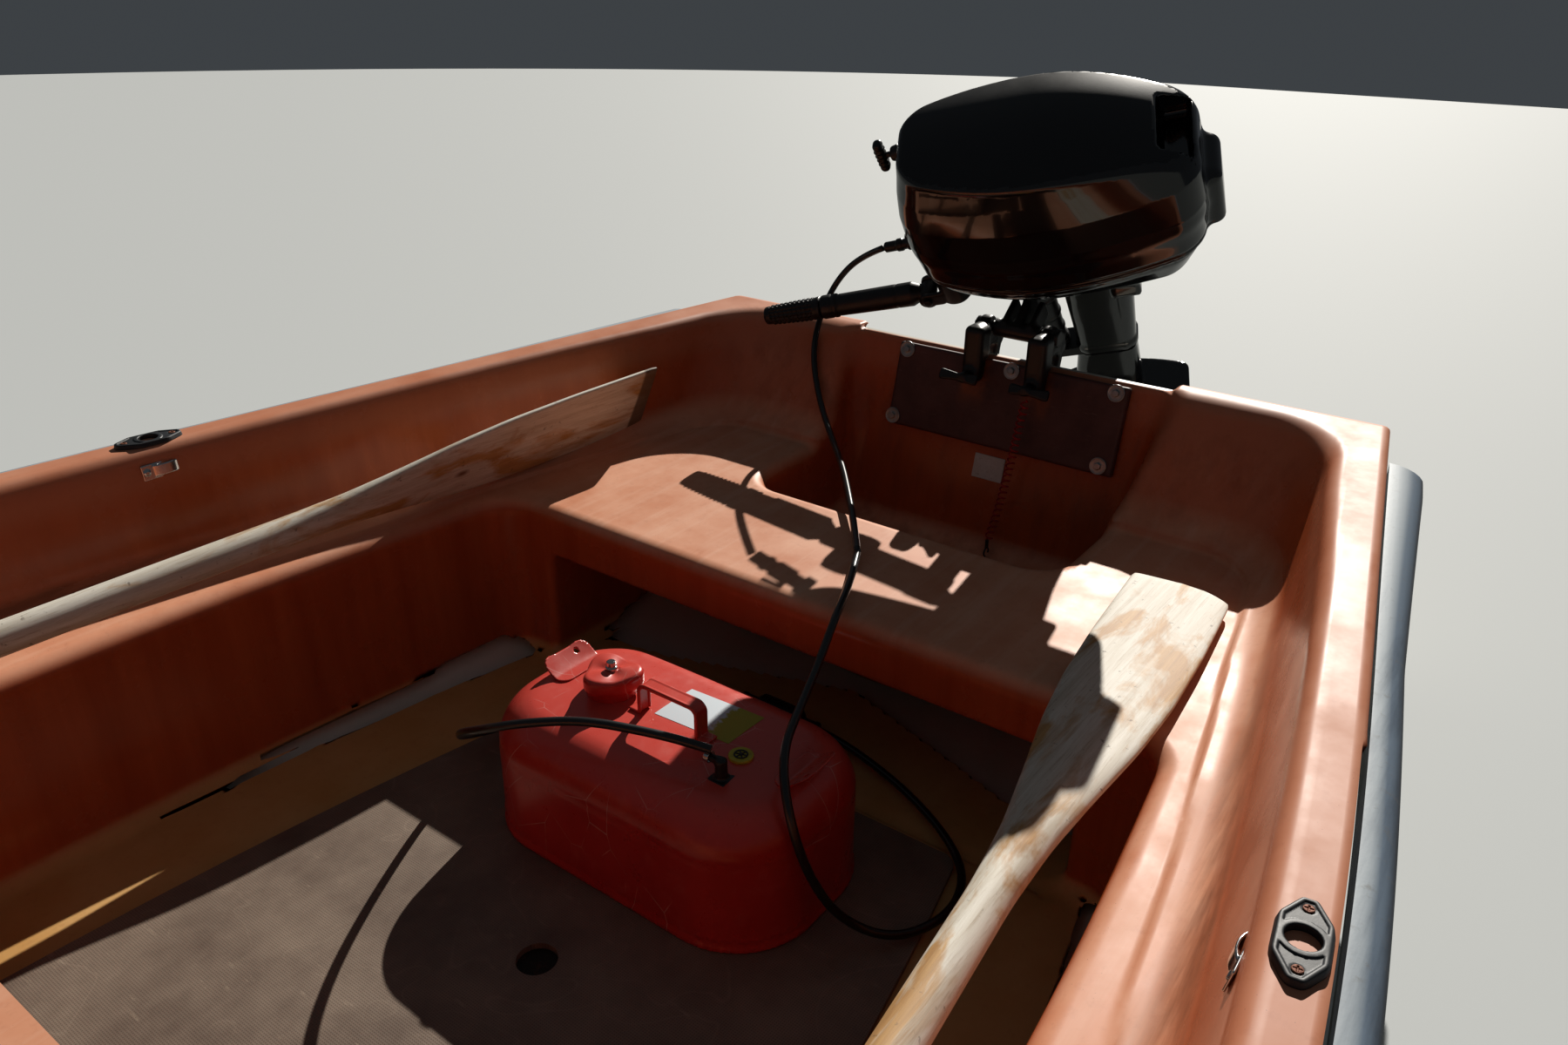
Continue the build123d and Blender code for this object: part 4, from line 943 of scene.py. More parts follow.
def screws(x, y, z):
    out = None
    for sx in (-.034, .034):
        rs = np.hypot(x - sx, y)
        head = slab(rs - .0046, z, .0048, .0018, .0009)
        cross = mn(near(x, sx, .0006), abs(y) - .0006)
        head = mx(head, -mx(cross, rs - .0034, .0056 - z))
        out = head if out is None else mn(out, head)
    return out


for sign, side in SIDES:
    place = socket_frame(sign)
    solid("socket_" + side, socket, (-.051, -.025, -.003), (.051, .025, .0115), .0011, "socket",
          "black_plastic", ["rowlock_socket_" + side], place)
    solid("socket_screws_" + side, screws, (-.041, -.007, .002), (.041, .007, .008), .0006, "rust",
          "black_plastic", place=place)


def strap(x, y, z):
    # a plate with a raised bow in the middle and two screw holes; y is out of the wall
    plate = rbox(x, y, z, (0, .0012, 0), (.036, .0012, .0115), .001)
    bow = both(abs(np.hypot(x * .55, y + .004) - .0115) - .0011, abs(z) - .0085, .0008)
    f = mn(plate, mx(bow, -y))
    for sx in (-.029, .029):
        f = mx(f, -(np.hypot(x - sx, z) - .0022))
        f = mn(f, rod(x, y, z, (sx, .001, 0), (sx, .0042, 0), .0042, e=.0014))
    return f


for sign, side in SIDES:
    z0 = float(z_sheer(SOCKET_X)) - .032
    wall = float(inner_face(SOCKET_X, z0))
    lean = math.atan2(.034, float(z_sheer(SOCKET_X)) - BENCH)

    def place(V):
        y = V[:, 1] * math.cos(lean) - V[:, 2] * math.sin(lean)
        z = V[:, 1] * math.sin(lean) + V[:, 2] * math.cos(lean)
        return np.stack([SOCKET_X + V[:, 0], sign * (wall - y), z0 + z], 1)
    solid("strap_" + side, strap, (-.039, -.003, -.014), (.039, .012, .014), .0011, "bright", "zinc",
          ["strap_bracket_" + side], place)

# Oars: superellipse sections from the blade's tip: x, half width, half thickness, squareness
OAR_ROWS = [
    (0, .0715, .0035, 5), (.012, .0735, .0048, 5), (.20, .0745, .0062, 4), (.34, .0705, .0078, 3.5),
    (.45, .0600, .0098, 3), (.56, .0430, .0130, 2.6), (.66, .0290, .0180, 2.2), (.76, .0225, .0225, 2),
    (1.9, .0222, .0222, 2), (1.92, .0190, .0190, 2), (1.945, .0168, .0168, 2), (2.02, .0172, .0172, 2),
    (2.046, .0150, .0150, 2)]


def oar(tip, heading, roll, pitch, corner):
    xs = np.concatenate([np.linspace(0, .02, 5), np.linspace(.03, .80, 70), np.linspace(.84, 1.88, 24),
                         np.linspace(1.89, 2.046, 16)])
    w, t, e = rows_at(OAR_ROWS, xs)
    kern = np.ones(5) / 5
    for a in (w, t):
        a[7:-16] = np.convolve(a, kern, "same")[7:-16]
    k = 44
    ang = np.linspace(0, 2 * math.pi, k, endpoint=False)
    c, s = np.cos(ang), np.sin(ang)
    rings = []
    for i, x in enumerate(xs):
        y = np.sign(c) * abs(c) ** (2 / e[i]) * w[i]
        z = np.sign(s) * abs(s) ** (2 / e[i]) * t[i]
        # a shallow ridge along the blade's middle
        z = z + np.sign(z) * .0022 * bell(y, .014) * np.clip((x - .02) / .3, 0, 1) * (x < .7)
        px = np.full(k, x) + corner * .10 * mx(0, y / .0735) ** 2 * max(0, 1 - x / .12)
        rings.append(np.stack([px, y, z], 1))
    V = np.concatenate(rings)
    n = len(xs)
    F = [(a, d, c, b) for a, b, c, d in ring_faces(n, k)]
    F.append(tuple(range(k)))
    F.append(tuple((n - 1) * k + j for j in range(k))[::-1])
    place = (Matrix.Translation(tip) @ Matrix.Rotation(math.radians(heading), 4, "Z")
             @ Matrix.Rotation(math.radians(pitch), 4, "Y") @ Matrix.Rotation(math.radians(roll), 4, "X"))
    R = np.array(place)
    return V @ R[:3, :3].T + R[:3, 3], F


for side, args in (("port", ((-1.737, .475, .2344), 5.4, 0, -.6, .30)),
                   ("starboard", ((-1.735, -.585, .302), -3.3, 65, 1.4, 0))):
    o = add("oar_wood_" + side, *oar(*args), side + "_oar", "oar_wood", ["oar_" + side])
    o.data.set_sharp_from_angle(angle=SHARP)

# Fuel tank

TANK_AT = np.array((-1.127, .012, SOLE + .009))


def tank_part(name, f, lo, hi, step, cad=(), at=(0, 0, 0), mat="tank", slot="tank_red"):
    return solid(name, f, lo, hi, step, mat, slot, cad, lambda V: V + np.array(at) + TANK_AT)


def tank(x, y, z):
    d = rounded(x, y + .008, .148, .2555, .115)
    crown = .1985 - .009 * (x / .14) ** 2 - .005 * (y / .25) ** 2
    f = both(d, z - crown, .058)
    # the pressed crease where the wall turns into the shoulder
    f = f + .0012 * bell(z - .133, .004) * (d > -.02)
    f = both(f, .0005 - z, .004)
    seam = slab(near(d, -.001, .0038), z, .0045, .0040, .003)
    rim = slab(abs(d) - .0020, z, .020, .0015, .001)
    return either(mn(f, rim), seam, .002)


def tank_height(x, y):
    # the top surface's height at a point of the plan
    lo, hi = np.full(np.shape(x), .10), np.full(np.shape(x), .21)
    for _ in range(24):
        m = (lo + hi) / 2
        inside = tank(np.asarray(x, float), np.asarray(y, float), m) < 0
        lo, hi = np.where(inside, m, lo), np.where(inside, hi, m)
    return (lo + hi) / 2


tank_part("tank", tank, (-.156, -.271, -.004), (.156, .255, .206), .0048, ["tank_body"])


def cap(x, y, z):
    r, a = np.hypot(x, y), np.arctan2(y, x)
    skirt = slab(r - .036, z, .007, .010, .003)
    lobe = .0405 + .0048 * np.cos(3 * a)
    top = both(r - lobe, abs(z - .0245) - .0110 - .002 * np.cos(3 * a), .0075)
    dish = rod(x, y, z, (0, 0, .034), (0, 0, .050), .012, e=.004)
    return mx(either(skirt, top, .006), -dish)


CAP = (.0, -.117, .196)
tank_part("cap", cap, (-.050, -.050, -.006), (.050, .050, .042), .0019, ["tank_cap"], CAP)


def vent(x, y, z):
    base = rod(x, y, z, (0, 0, .028), (0, 0, .039), .0085, e=.0015)
    r, a = np.hypot(x, y), np.arctan2(y, x)
    knob = slab(r - .0062 - .0003 * np.cos(24 * a), z, .0435, .0040, .001)
    return mn(base, knob)


tank_part("vent", vent, (-.011, -.011, .026), (.011, .011, .0478), .0008, (), CAP, "bright", "zinc")


def handle(x, y, z):
    # a U of channel section: a thin web with rolled edges
    ay = abs(y)
    r = .016
    q1, q2 = ay - .054 + r, z - .050 + r
    outer = np.hypot(mx(q1, 0), mx(q2, 0)) + mn(mx(q1, q2), 0) - r
    web = both(near(outer, -.0030, .0011), abs(x) - .0105, .0008)
    edge = both(near(outer, -.0040, .0030), abs(abs(x) - .0095) - .0016, .0012)
    f = mx(mn(web, edge), .001 - z)
    foot = rbox(x, ay, z, (0, .060, .0015), (.011, .009, .0016), .0012)
    return either(f, foot, .002)


tank_part("handle", handle, (-.0125, -.071, -.0015), (.0125, .071, .0510), .0016, ["tank_handle"],
          (.012, .004, .1988))


def ear(x, y, z):
    # formed sheet: a foot on the tank that turns up into a leaning ear with a small hole
    mid = .55 * np.sqrt(mx(y, 0) ** 2 + .010 ** 2) - .0055 + .18 * mx(y, 0)
    cup = .004 * (x / .043) ** 2 * np.clip(y / .03, 0, 1)
    sheet = abs(z - mid - cup) * .8 - .0012
    outline = slab(abs(x) - .0425, y, .006, .024, .016)
    f = both(sheet, outline, .0006)
    return mx(f, .0038 - np.hypot(x - .018, y - .020))


EAR_X, EAR_Y = -.012, .198
for sign, side in ((-1, "left"), (1, "right")):
    top = float(tank_height(np.array([EAR_X]), np.array([sign * EAR_Y]))[0])
    c = np.array((EAR_X, sign * EAR_Y, top + .0012))
    solid("hanger_" + side, ear, (-.0445, -.0195, -.006), (.0445, .0320, .0330), .0016, "tank", "tank_red",
          ["tank_hanger_" + side], lambda V: V * (sign, sign, 1) + c + TANK_AT)


def gauge(x, y, z):
    return slab(np.hypot(x, y) - .0165, z, .0018, .0022, .001)


GAUGE = (.013, .121, .1968)
tank_part("gauge", gauge, (-.019, -.019, -.002), (.019, .019, .006), .0011, ["tank_gauge"], GAUGE, "yellow",
          "yellow_plastic")


def gauge_mark(x, y, z):
    r = np.hypot(x, y)
    ring = slab(near(r, .0085, .0012), z, .0044, .0006, .0004)
    spoke = mn(*(mx(abs(x * math.cos(t) + y * math.sin(t)) - .0011, r - .009) for t in (.3, 1.35, 2.4)))
    spoke = slab(spoke, z, .0044, .0006, .0004)
    return mn(ring, spoke, rod(x, y, z, (0, 0, .003), (0, 0, .0062), .003))


tank_part("gauge_mark", gauge_mark, (-.0115, -.0115, .002), (.0115, .0115, .0070), .0007, (), GAUGE,
          "plastic", "black_plastic")


def outlet(x, y, z):
    flange = rbox(x, y, z, (0, 0, .0015), (.0135, .0135, .0020), .0015)
    neck = rod(x, y, z, (0, 0, 0), (0, 0, .030), .0088, .0075, e=.003)
    elbow = rod(x, y, z, (0, .003, .026), (0, -.0235, .026), .0062, .0048, e=.0015)
    return either(either(flange, neck, .003), elbow, .004)


OUTLET = (.059, .126, .1925)
tank_part("outlet", outlet, (-.0150, -.0255, -.0015), (.0150, .0155, .0325), .0012, ["tank_outlet"], OUTLET,
          "plastic", "black_plastic")


def clamp_ring(x, y, z):
    r = np.hypot(x, z - .026)
    band = slab(near(r, .0072, .0007), y, -.020, .0038, .0004)
    tab = rbox(x, y, z, (0, -.020, .0345), (.0022, .0036, .0018), .0006)
    return mn(band, tab)


tank_part("clamp_ring", clamp_ring, (-.0095, -.0250, .0165), (.0095, -.0150, .0375), .0007, (), OUTLET,
          "bright", "zinc")

# The blank label on the tank's top
ROWS, K = 20, 28
lx, ly = np.meshgrid(np.linspace(-.072, .006, ROWS), np.linspace(-.030, .092, K), indexing="ij")
lx = lx + (ly - .03) * -.06
lz = tank_height(lx, ly) + .0004
V = np.stack([lx, ly, lz], -1).reshape(-1, 3) + TANK_AT
F = [(i * K + j, (i + 1) * K + j, (i + 1) * K + j + 1, i * K + j + 1) for i in range(ROWS - 1)
     for j in range(K - 1)]
add("tank_label", V, F, "label", "tank_red")

# Outboard motor: pieces are made in the motor's own upright frame and turned into place

TILT_AT = np.array((-2.076, .019, .464))
TILT, STEER = math.radians(40), math.radians(-68)


def in_swivel(V):
    x, y, z = V[:, 0] - .100, V[:, 1], V[:, 2] + .026
    c, s = math.cos(TILT), math.sin(TILT)
    return np.stack([x * c + z * s, y, -x * s + z * c], 1) + TILT_AT


def steered(V):
    c, s = math.cos(STEER), math.sin(STEER)
    return in_swivel(np.stack([V[:, 0] * c - V[:, 1] * s, V[:, 0] * s + V[:, 1] * c, V[:, 2]], 1))


def motor_part(name, f, lo, hi, step, mat, cad, slot="motor_black", body="motor"):
    return solid(name, f, lo, hi, step, mat, slot, cad, steered, body)


# the cowl's widest station
WIDEST = -.052


def cowl_plan(x, y, z, rows):
    front, rear, half, half_front, half_rear = rows_at(rows, z)
    t = np.where(x > WIDEST, (x - WIDEST) / (front - WIDEST), (WIDEST - x) / (WIDEST - rear))
    end = np.where(x > WIDEST, half_front, half_rear)
    w = half - (half - end) * np.clip(t, 0, 1.3) ** 2
    d = both(abs(y) - w, x - front, .045)
    return both(d, rear - x, .045)


# z, front, rear, half width at the widest, in front and behind
COWL = [(.128, .178, -.300, .142, .072, .100), (.215, .183, -.305, .148, .080, .106),
        (.270, .178, -.303, .142, .084, .094), (.300, .172, -.299, .137, .083, .076),
        (.318, .168, -.300, .134, .082, .064), (.346, .160, -.292, .128, .078, .054),
        (.380, .152, -.284, .123, .073, .048)]
PAN = [(.040, .112, -.262, .100, .044, .078), (.066, .128, -.272, .112, .048, .084),
       (.104, .164, -.288, .133, .065, .093), (.127, .176, -.297, .141, .071, .099)]


def cowl_top(x, y):
    front, rear = np.clip(.15 - x, 0, 1) / .38, np.clip(-.06 - x, 0, 1) / .22
    return .377 - .018 * front ** 2 - .045 * rear ** 2 - .018 * (y / .12) ** 2


def cowl(x, y, z):
    d = cowl_plan(x, y, z, COWL)
    f = both(d, z - cowl_top(x, y), .009)
    # a soft step under the shoulder and a belt round the sides
    f = f - .0018 * bell(z - .190, .016)
    half = .058 + .35 * np.clip(.31 - z, 0, .05)
    trough = both(slab(abs(y) - half, x, -.268, .0245, .010), .262 - z, .012)
    f = -either(-f, trough, .004)
    # the lip of the lower edge
    f = f + .0016 * bell(z - .137, .0022)
    latch = rbox(x, y, z, (-.308, 0, .176), (.022, .052, .060), .019)
    f = either(f, latch, .014)
    return both(f, .1285 - z, .002)


V, Q = nets(cowl, steps(-.340, .190, .0046), steps(-.156, .156, .0046),
            joined((.122, .146, .0024), (.146, .380, .0046)))
top_face = abs(V[:, 2] - cowl_top(V[:, 0], V[:, 1])) < .0028
N = unit_normals(cowl, V)
o = add("cowl_shell", steered(V), Q, "motor", "motor_black", ["cowl"], "motor")
o.data.materials.append(M["satin"])
flags = top_face[Q].all(1) & (N[:, 2][Q].min(1) > .80)
o.data.polygons.foreach_set("material_index", flags.astype(int))
origin = steered(np.zeros((1, 3)))
o.data.normals_split_custom_set_from_vertices([tuple(n) for n in steered(N) - origin])


def pan(x, y, z):
    d = cowl_plan(x, y, z, PAN)
    f = both(d, z - .1268, .002)
    f = both(f, .068 + .105 * (x + .060) - z, .022)
    f = f + .0016 * bell(z - .118, .0022)
    foot = rbox(x, y, z, (-.160, .070, .046), (.026, .024, .020), .006)
    return either(f, foot, .006)


motor_part("pan", pan, (-.302, -.146, .020), (.181, .146, .1295), .0046, "motor", ["cowl_pan"])


def recoil(x, y, z):
    bar = rbox(x, y, z, (.198, -.036, .326), (.0085, .0105, .031), .008)
    grip = .0010 * np.cos((z - .326) * 2 * math.pi / .009) * (abs(z - .326) < .020)
    stem = rod(x, y, z, (.170, -.036, .326), (.198, -.036, .326), .0050)
    seat = rod(x, y, z, (.166, -.036, .326), (.181, -.036, .326), .0150, .0115, e=.003)
    return mn(bar + grip, stem, seat)


motor_part("recoil", recoil, (.160, -.054, .292), (.210, -.018, .360), .0019, "plastic", ["recoil_handle"],
           "black_plastic")


def connector(x, y, z):
    a, b = np.array((.148, -.055, .092)), np.array((.272, -.0657, .0775))
    d = b - a
    f = rod(x, y, z, a, b, .0100, e=.003)
    for t0, t1, r in ((.0, .16, .0150), (.30, .62, .0130), (.70, .80, .0122), (.88, 1.0, .0092)):
        f = mn(f, rod(x, y, z, a + d * t0, a + d * t1, r, e=.0022))
    lever = rbox(x, y, z, (.206, -.060, .104), (.020, .0055, .0028), .002)
    return either(f, lever, .003)


motor_part("connector", connector, (.140, -.084, .060), (.282, -.038, .114), .0019, "plastic",
           ["fuel_connector"], "black_plastic")

# height of the propeller's axis below the swivel's origin
PROP_Z = .500

# z, middle, length, width, corner radius
LEG = [(-.400, -.074, .140, .046, .016), (-.380, -.074, .140, .046, .016), (-.200, -.096, .108, .062, .022),
       (-.030, -.104, .122, .088, .030), (.066, -.112, .150, .110, .040), (.080, -.112, .150, .110, .040)]


def leg(x, y, z):
    cx, length, width, corner = rows_at(LEG, z)
    d = rounded(x - cx, y, length / 2, width / 2, corner)
    f = slab(d, z, -.159, .227, .004)
    band = slab(d - .0035, z, -.192, .010, .004)
    foot = slab(d - .005, z, -.378, .008, .003)
    flange = slab(d - .006, z, .058, .007, .003)
    return mn(either(f, band, .004), either(foot, flange, .003))


motor_part("leg", leg, (-.200, -.064, -.390), (-.010, .064, .070), .0052, "motor", ["midsection"])


def strut(x, y, z):
    # a thin vertical foil that widens into the torpedo below
    t = np.clip((x + .145) / .150, 0, 1)
    half = .021 * np.sqrt(np.clip(4 * t * (1 - t), 0, 1)) + .004
    d = slab(abs(y) - half, x, -.070, .078, .010)
    return mx(d, z + .388, -PROP_Z - z)


def torpedo(x, y, z):
    t = np.clip((x + .152) / .290, 0, 1)
    r = .037 * np.clip(mn(1, (1 - t) * 3.4), 0, 1) ** .5 * np.where(t < .10, .90 + t, 1)
    d = np.hypot(y, z + PROP_Z) - r
    return mx(d, near(x, -.007, .145))


def plate_av(x, y, z):
    ax = x + .080
    half = .088 * np.clip(1 - (np.clip(ax, 0, 1) / .152) ** 2.6, 0, 1) ** .5
    half = np.where(ax < 0, .088 - .030 * np.clip(-ax / .150, 0, 1) ** 2, half)
    d = slab(abs(y) - half, x, -.080, .150, .012)
    return slab(d, z, -.392, .0042, .003)


def skeg(x, y, z):
    drop = np.clip((-PROP_Z - z) / .158, 0, 1)
    lo, hi = -.118 + .004 * drop, .055 - .100 * drop
    half = .0052 * (1 - .45 * drop)
    d = both(abs(x - (lo + hi) / 2) - (hi - lo) / 2, abs(y) - half, .004)
    return mx(both(d, -.658 - z, .012), z + PROP_Z)


def gearcase(x, y, z):
    f = either(strut(x, y, z), torpedo(x, y, z), .018)
    f = either(f, plate_av(x, y, z), .008)
    f = either(f, skeg(x, y, z), .010)
    # water intake slots
    for dz in (0, .012, .024):
        f = mx(f, -rbox(x, abs(y), z, (.010, .024, -.428 - dz), (.020, .006, .0028), .002))
    return f


motor_part("gearcase", gearcase, (-.236, -.094, -.664), (.146, .094, -.382), .0044, "motor", ["gearcase"])


def propeller(x, y, z):
    zz = z + PROP_Z
    hub = rod(x, y, zz, (-.239, 0, 0), (-.157, 0, 0), .026, .032, e=.004)
    nut = rod(x, y, zz, (-.262, 0, 0), (-.236, 0, 0), .0075, .0105, e=.003)
    f = mn(hub, nut)
    for k in range(3):
        a = 2 * math.pi * k / 3
        py, pz = y * math.cos(a) + zz * math.sin(a), -y * math.sin(a) + zz * math.cos(a)
        r = np.clip(pz, 0, .12)
        pitch = np.radians(np.interp(r, [.026, .066, .096], [56, 42, 30]))
        u = py * np.sin(pitch) - (x + .198) * np.cos(pitch)
        v = py * np.cos(pitch) + (x + .198) * np.sin(pitch)
        half = np.interp(r, [.02, .04, .07, .09, .104], [.026, .036, .043, .036, .004])
        thick = np.interp(r, [.026, .104], [.0046, .0018])
        blade = both(abs(v) - half, abs(u) - thick, .0015)
        blade = mx(blade, pz - .1042, .015 - pz)
        f = either(f, blade, .004)
    return f


motor_part("propeller_blades", propeller, (-.266, -.108, -.608), (-.150, .108, -.392), .0030, "prop",
           ["propeller"], "propeller_metal", "propeller")


def arm(x, y, z):
    # the steering arm from the shaft to the tiller's boss
    t = np.clip((x + .07) / .22, 0, 1)
    bar = slab(abs(y) - (.023 - .003 * t), z, .040, .0105, .006)
    bar = slab(bar, x, .0415, .1115, .006)
    web = mx(abs(y) - .004, near(x, .06, .07), near(z, .022, .016))
    boss = rod(x, y, z, (.150, 0, -.004), (.150, 0, .056), .0300, e=.005)
    ring = both(abs(np.hypot(x - .150, y) - .0235) - .0040, near(z, .0585, .0030), .001)
    shaft = rod(x, y, z, (0, 0, -.214), (0, 0, .047), .0138, e=.002)
    collar = rod(x, y, z, (0, 0, .026), (0, 0, .051), .030, e=.003)
    f = either(either(bar, boss, .008), web, .004)
    f = either(f, collar, .006)
    return mn(f, shaft, ring)


# the pin that the tiller folds about
PIN_X, PIN_Z = .200, .012


def fork(x, y, z):
    ay, r = abs(y), np.hypot(x - PIN_X, z - PIN_Z)
    ears = slab(r - .0170, ay, .0225, .0045, .002)
    cheek = both(slab(near(x, .185, .017), z, .014, .015, .005), near(ay, .0225, .0045), .002)
    pin = rod(x, y, z, (PIN_X, -.031, PIN_Z), (PIN_X, .031, PIN_Z), .0050, e=.001)
    head = slab(r - .0085, ay, .0300, .0022, .001)
    return mn(ears, cheek, pin, head)


motor_part("steer_arm", lambda x, y, z: either(arm(x, y, z), fork(x, y, z), .003), (-.076, -.036, -.218),
           (.222, .036, .0645), .0029, "cast", ["steering_arm"])
motor_part("boss_cap", lambda x, y, z: rod(x, y, z, (.153, 0, .052), (.153, 0, .0625), .0165, e=.003),
           (.134, -.019, .050), (.172, .019, .0645), .0018, "plate", ())


def tiller(x, y, z):
    zz = z - PIN_Z
    from_pin = np.hypot(x - PIN_X, zz)
    knuckle = both(from_pin - .0150, abs(y) - .0170, .003)
    knuckle = mx(knuckle, .0056 - from_pin)
    r = np.interp(x, [.212, .232, .30, .381], [.0140, .0232, .0224, .0212])
    body = slab(np.hypot(y, zz) - r, x, .2965, .0845, .004)
    rib = mx(abs(y) - .0030, near(x, .290, .060), near(zz, -.012, .012))
    seam = bell(x - .262, .0015) * .0010
    f = either(knuckle, body + seam, .006)
    f = either(f, rib, .004)
    collar = slab(np.hypot(y, zz) - .0232, x, .398, .0170, .004)
    notch = bell(x - .392, .0018) * .0014
    return either(f, collar + notch, .002)


motor_part("tiller_tube", tiller, (.182, -.026, -.016), (.4185, .026, .039), .0022, "cast", ["tiller_arm"],
           body="tiller")


def grip(x, y, z):
    r, a = np.hypot(y, z - PIN_Z), np.arctan2(z - PIN_Z, y)
    t = np.clip((x - .4155) / .120, 0, 1)
    rad = .0212 - .0038 * t ** 1.5 + .0012 * bell(t - .03, .05)
    flute = .0009 * np.cos(16 * a) * ((t > .14) & (t < .90))
    ringy = .0010 * np.cos(x * 2 * math.pi / .0095) * ((t > .14) & (t < .90))
    f = slab(r - rad + flute + ringy, x, .4757, .0602, .005)
    dimple = rod(x, y, z, (.532, 0, PIN_Z), (.545, 0, PIN_Z), .0075, e=.001)
    return mx(f, -dimple)


motor_part("grip", grip, (.412, -.0250, -.0130), (.539, .0250, .0370), .0014, "rubber", ["tiller_grip"],
           "grip_rubber", "tiller")

# The motor's middle, the clamp's jaws to either side of it and the height of its screws
MOTOR_Y, CLAMP_Y, SCREW_Z = .019, .062, .385


def clamp(x, y, z):
    yy = abs(y - MOTOR_Y) - CLAMP_Y
    jaw = rbox(x, yy, z, (-2.040, 0, .421), (.022, .0195, .052), .012)
    nose = rod(x, yy, z, (-2.040, 0, SCREW_Z), (-2.014, 0, SCREW_Z), .0165, .0140, e=.003)
    dx, dz = x - TILT_AT[0], z - TILT_AT[2]
    r = np.hypot(dx, dz)
    lobe = both(r - .0200, abs(yy) - .0105, .004)
    saddle = rbox(x, yy, z, (-2.082, 0, .447), (.048, .0095, .021), .007)
    rear = rbox(x + (z - .420) * .231, yy, z, (-2.1165, 0, .340), (.0085, .0095, .106), .005)
    rib = rbox(x, yy, z, (-2.056, 0, .440), (.026, .0065, .034), .006)
    f = either(either(jaw, saddle, .010), lobe, .006)
    f = either(either(f, rear, .008), nose, .005)
    f = either(f, rib, .005)
    tilt_tube = slab(r - .0108, y, MOTOR_Y, .082, .002)
    across = mn(hexagon(np.arctan2(dz, dx), .0150), .0166)
    nut = both(r - across, abs(near(y, MOTOR_Y, .0775)) - .0045, .0015)
    brace = rbox(x + (z - .320) * .231, y, z, (-2.0915, MOTOR_Y, .320), (.0060, CLAMP_Y, .018), .005)
    f = either(f, brace, .008)
    f = mn(f, tilt_tube, nut)
    face = (x - (TOP_X - .0075 + (TOP_Z - z) * RAKE)) * RAKE_COS
    front = (pad_x + .0235 + (TOP_Z - z) * RAKE - x) * RAKE_COS
    wood = mx(z - .4125, -face, -front)
    return mx(f, -wood)


solid("clamp", clamp, (-2.142, -.068, .226), (-2.010, .106, .488), .0034, "cast", "motor_black",
      ["clamp_bracket"])

WING_TURN = math.radians(24)


def screw(x, y, z, sign):
    # y from the screw's own axis; the wing reaches further out than in
    hub = rod(x, y, z, (-2.004, 0, SCREW_Z), (-1.985, 0, SCREW_Z), .0100, .0080, e=.003)
    shank = rod(x, y, z, (-2.044, 0, SCREW_Z), (-2.000, 0, SCREW_Z), .0060)
    thread = .0005 * np.cos(x * 2 * math.pi / .0022) * ((x > -2.013) & (x < -2.004))
    disc = rod(x, y, z, (-2.0560, 0, SCREW_Z), (-2.0500, 0, SCREW_Z), .0130, e=.0012)
    c, s = math.cos(WING_TURN), math.sin(WING_TURN)
    u, v, w = y - sign * .008, z - SCREW_Z, x + 1.991
    wing_half = .0065 + .0040 * np.clip(abs(u) / .038, 0, 1)
    wing = both(abs(v * c - w * s) - wing_half, abs(u) - .038, .006)
    wing = both(wing, abs(w * c + v * s) - .0042, .003)
    return either(mn(shank + thread, disc, hub), wing, .004)


for sign, side in SIDES:
    y0 = MOTOR_Y + sign * CLAMP_Y
    low, high = y0 - .032 + min(sign, 0) * .017, y0 + .032 + max(sign, 0) * .017
    solid("clamp_screw_" + side, lambda x, y, z: screw(x, y - y0, z, sign), (-2.060, low, .366),
          (-1.978, high, .404), .0021, "cast", "zinc", ["clamp_screws"])


def bracket(x, y, z):
    sleeve = rod(x, y, z, (0, 0, -.183), (0, 0, .024), .0240, e=.003)
    lip = rod(x, y, z, (0, 0, -.183), (0, 0, -.168), .0285, e=.004)
    top = rod(x, y, z, (0, 0, .010), (0, 0, .024), .0275, e=.003)
    barrel = both(np.hypot(x - .100, z + .026) - .0160, abs(y) - .0455, .003)
    web = both(mx(abs(y) - .0075, -x, (x - .100) + mx(0, -(z + .045)) * .75,
                  z - .010 + .22 * x), -(z + .155), .006)
    cheek = both(mx(abs(abs(y) - .0260) - .0055, x - .100, .040 - x), near(z, -.026, .020), .005)
    f = either(either(sleeve, web, .010), barrel, .008)
    f = either(either(f, cheek, .006), mn(lip, top), .004)
    for bz in (-.045, -.095, -.140):
        f = either(f, both(near(z, bz, .0030), np.hypot(x, y) - .0262, .002), .002)
    f = mx(f, .0142 - np.hypot(x, y))
    return mx(f, .0114 - np.hypot(x - .100, z + .026))


solid("swivel_body", bracket, (-.031, -.048, -.186), (.1175, .048, .027), .0031, "cast", "motor_black",
      ["swivel_bracket"], in_swivel, "swivel")

# CAD pieces that keep their own form get their materials here
SLOT_MATERIAL = {"hull_gelcoat": "hull", "inner_gelcoat": "gel", "rail_rubber": "rail", "board_film": "board",
                 "pad_board": "pad", "zinc": "zinc", "plate_metal": "plate", "tank_red": "tank",
                 "black_plastic": "plastic", "yellow_plastic": "yellow", "motor_black": "cast",
                 "engine_mass": "engine", "propeller_metal": "prop", "grip_rubber": "rubber",
                 "hose_rubber": "hose", "red_cord": "red_cord", "oar_wood": "port_oar"}
for name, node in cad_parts.items():
    ob = node if isinstance(node, bpy.types.Object) else bpy.data.objects[name]
    for s in ob.material_slots:
        base = s.material.name.split(".")[0] if s.material else ""
        s.material = M[SLOT_MATERIAL.get(base, "cast")]

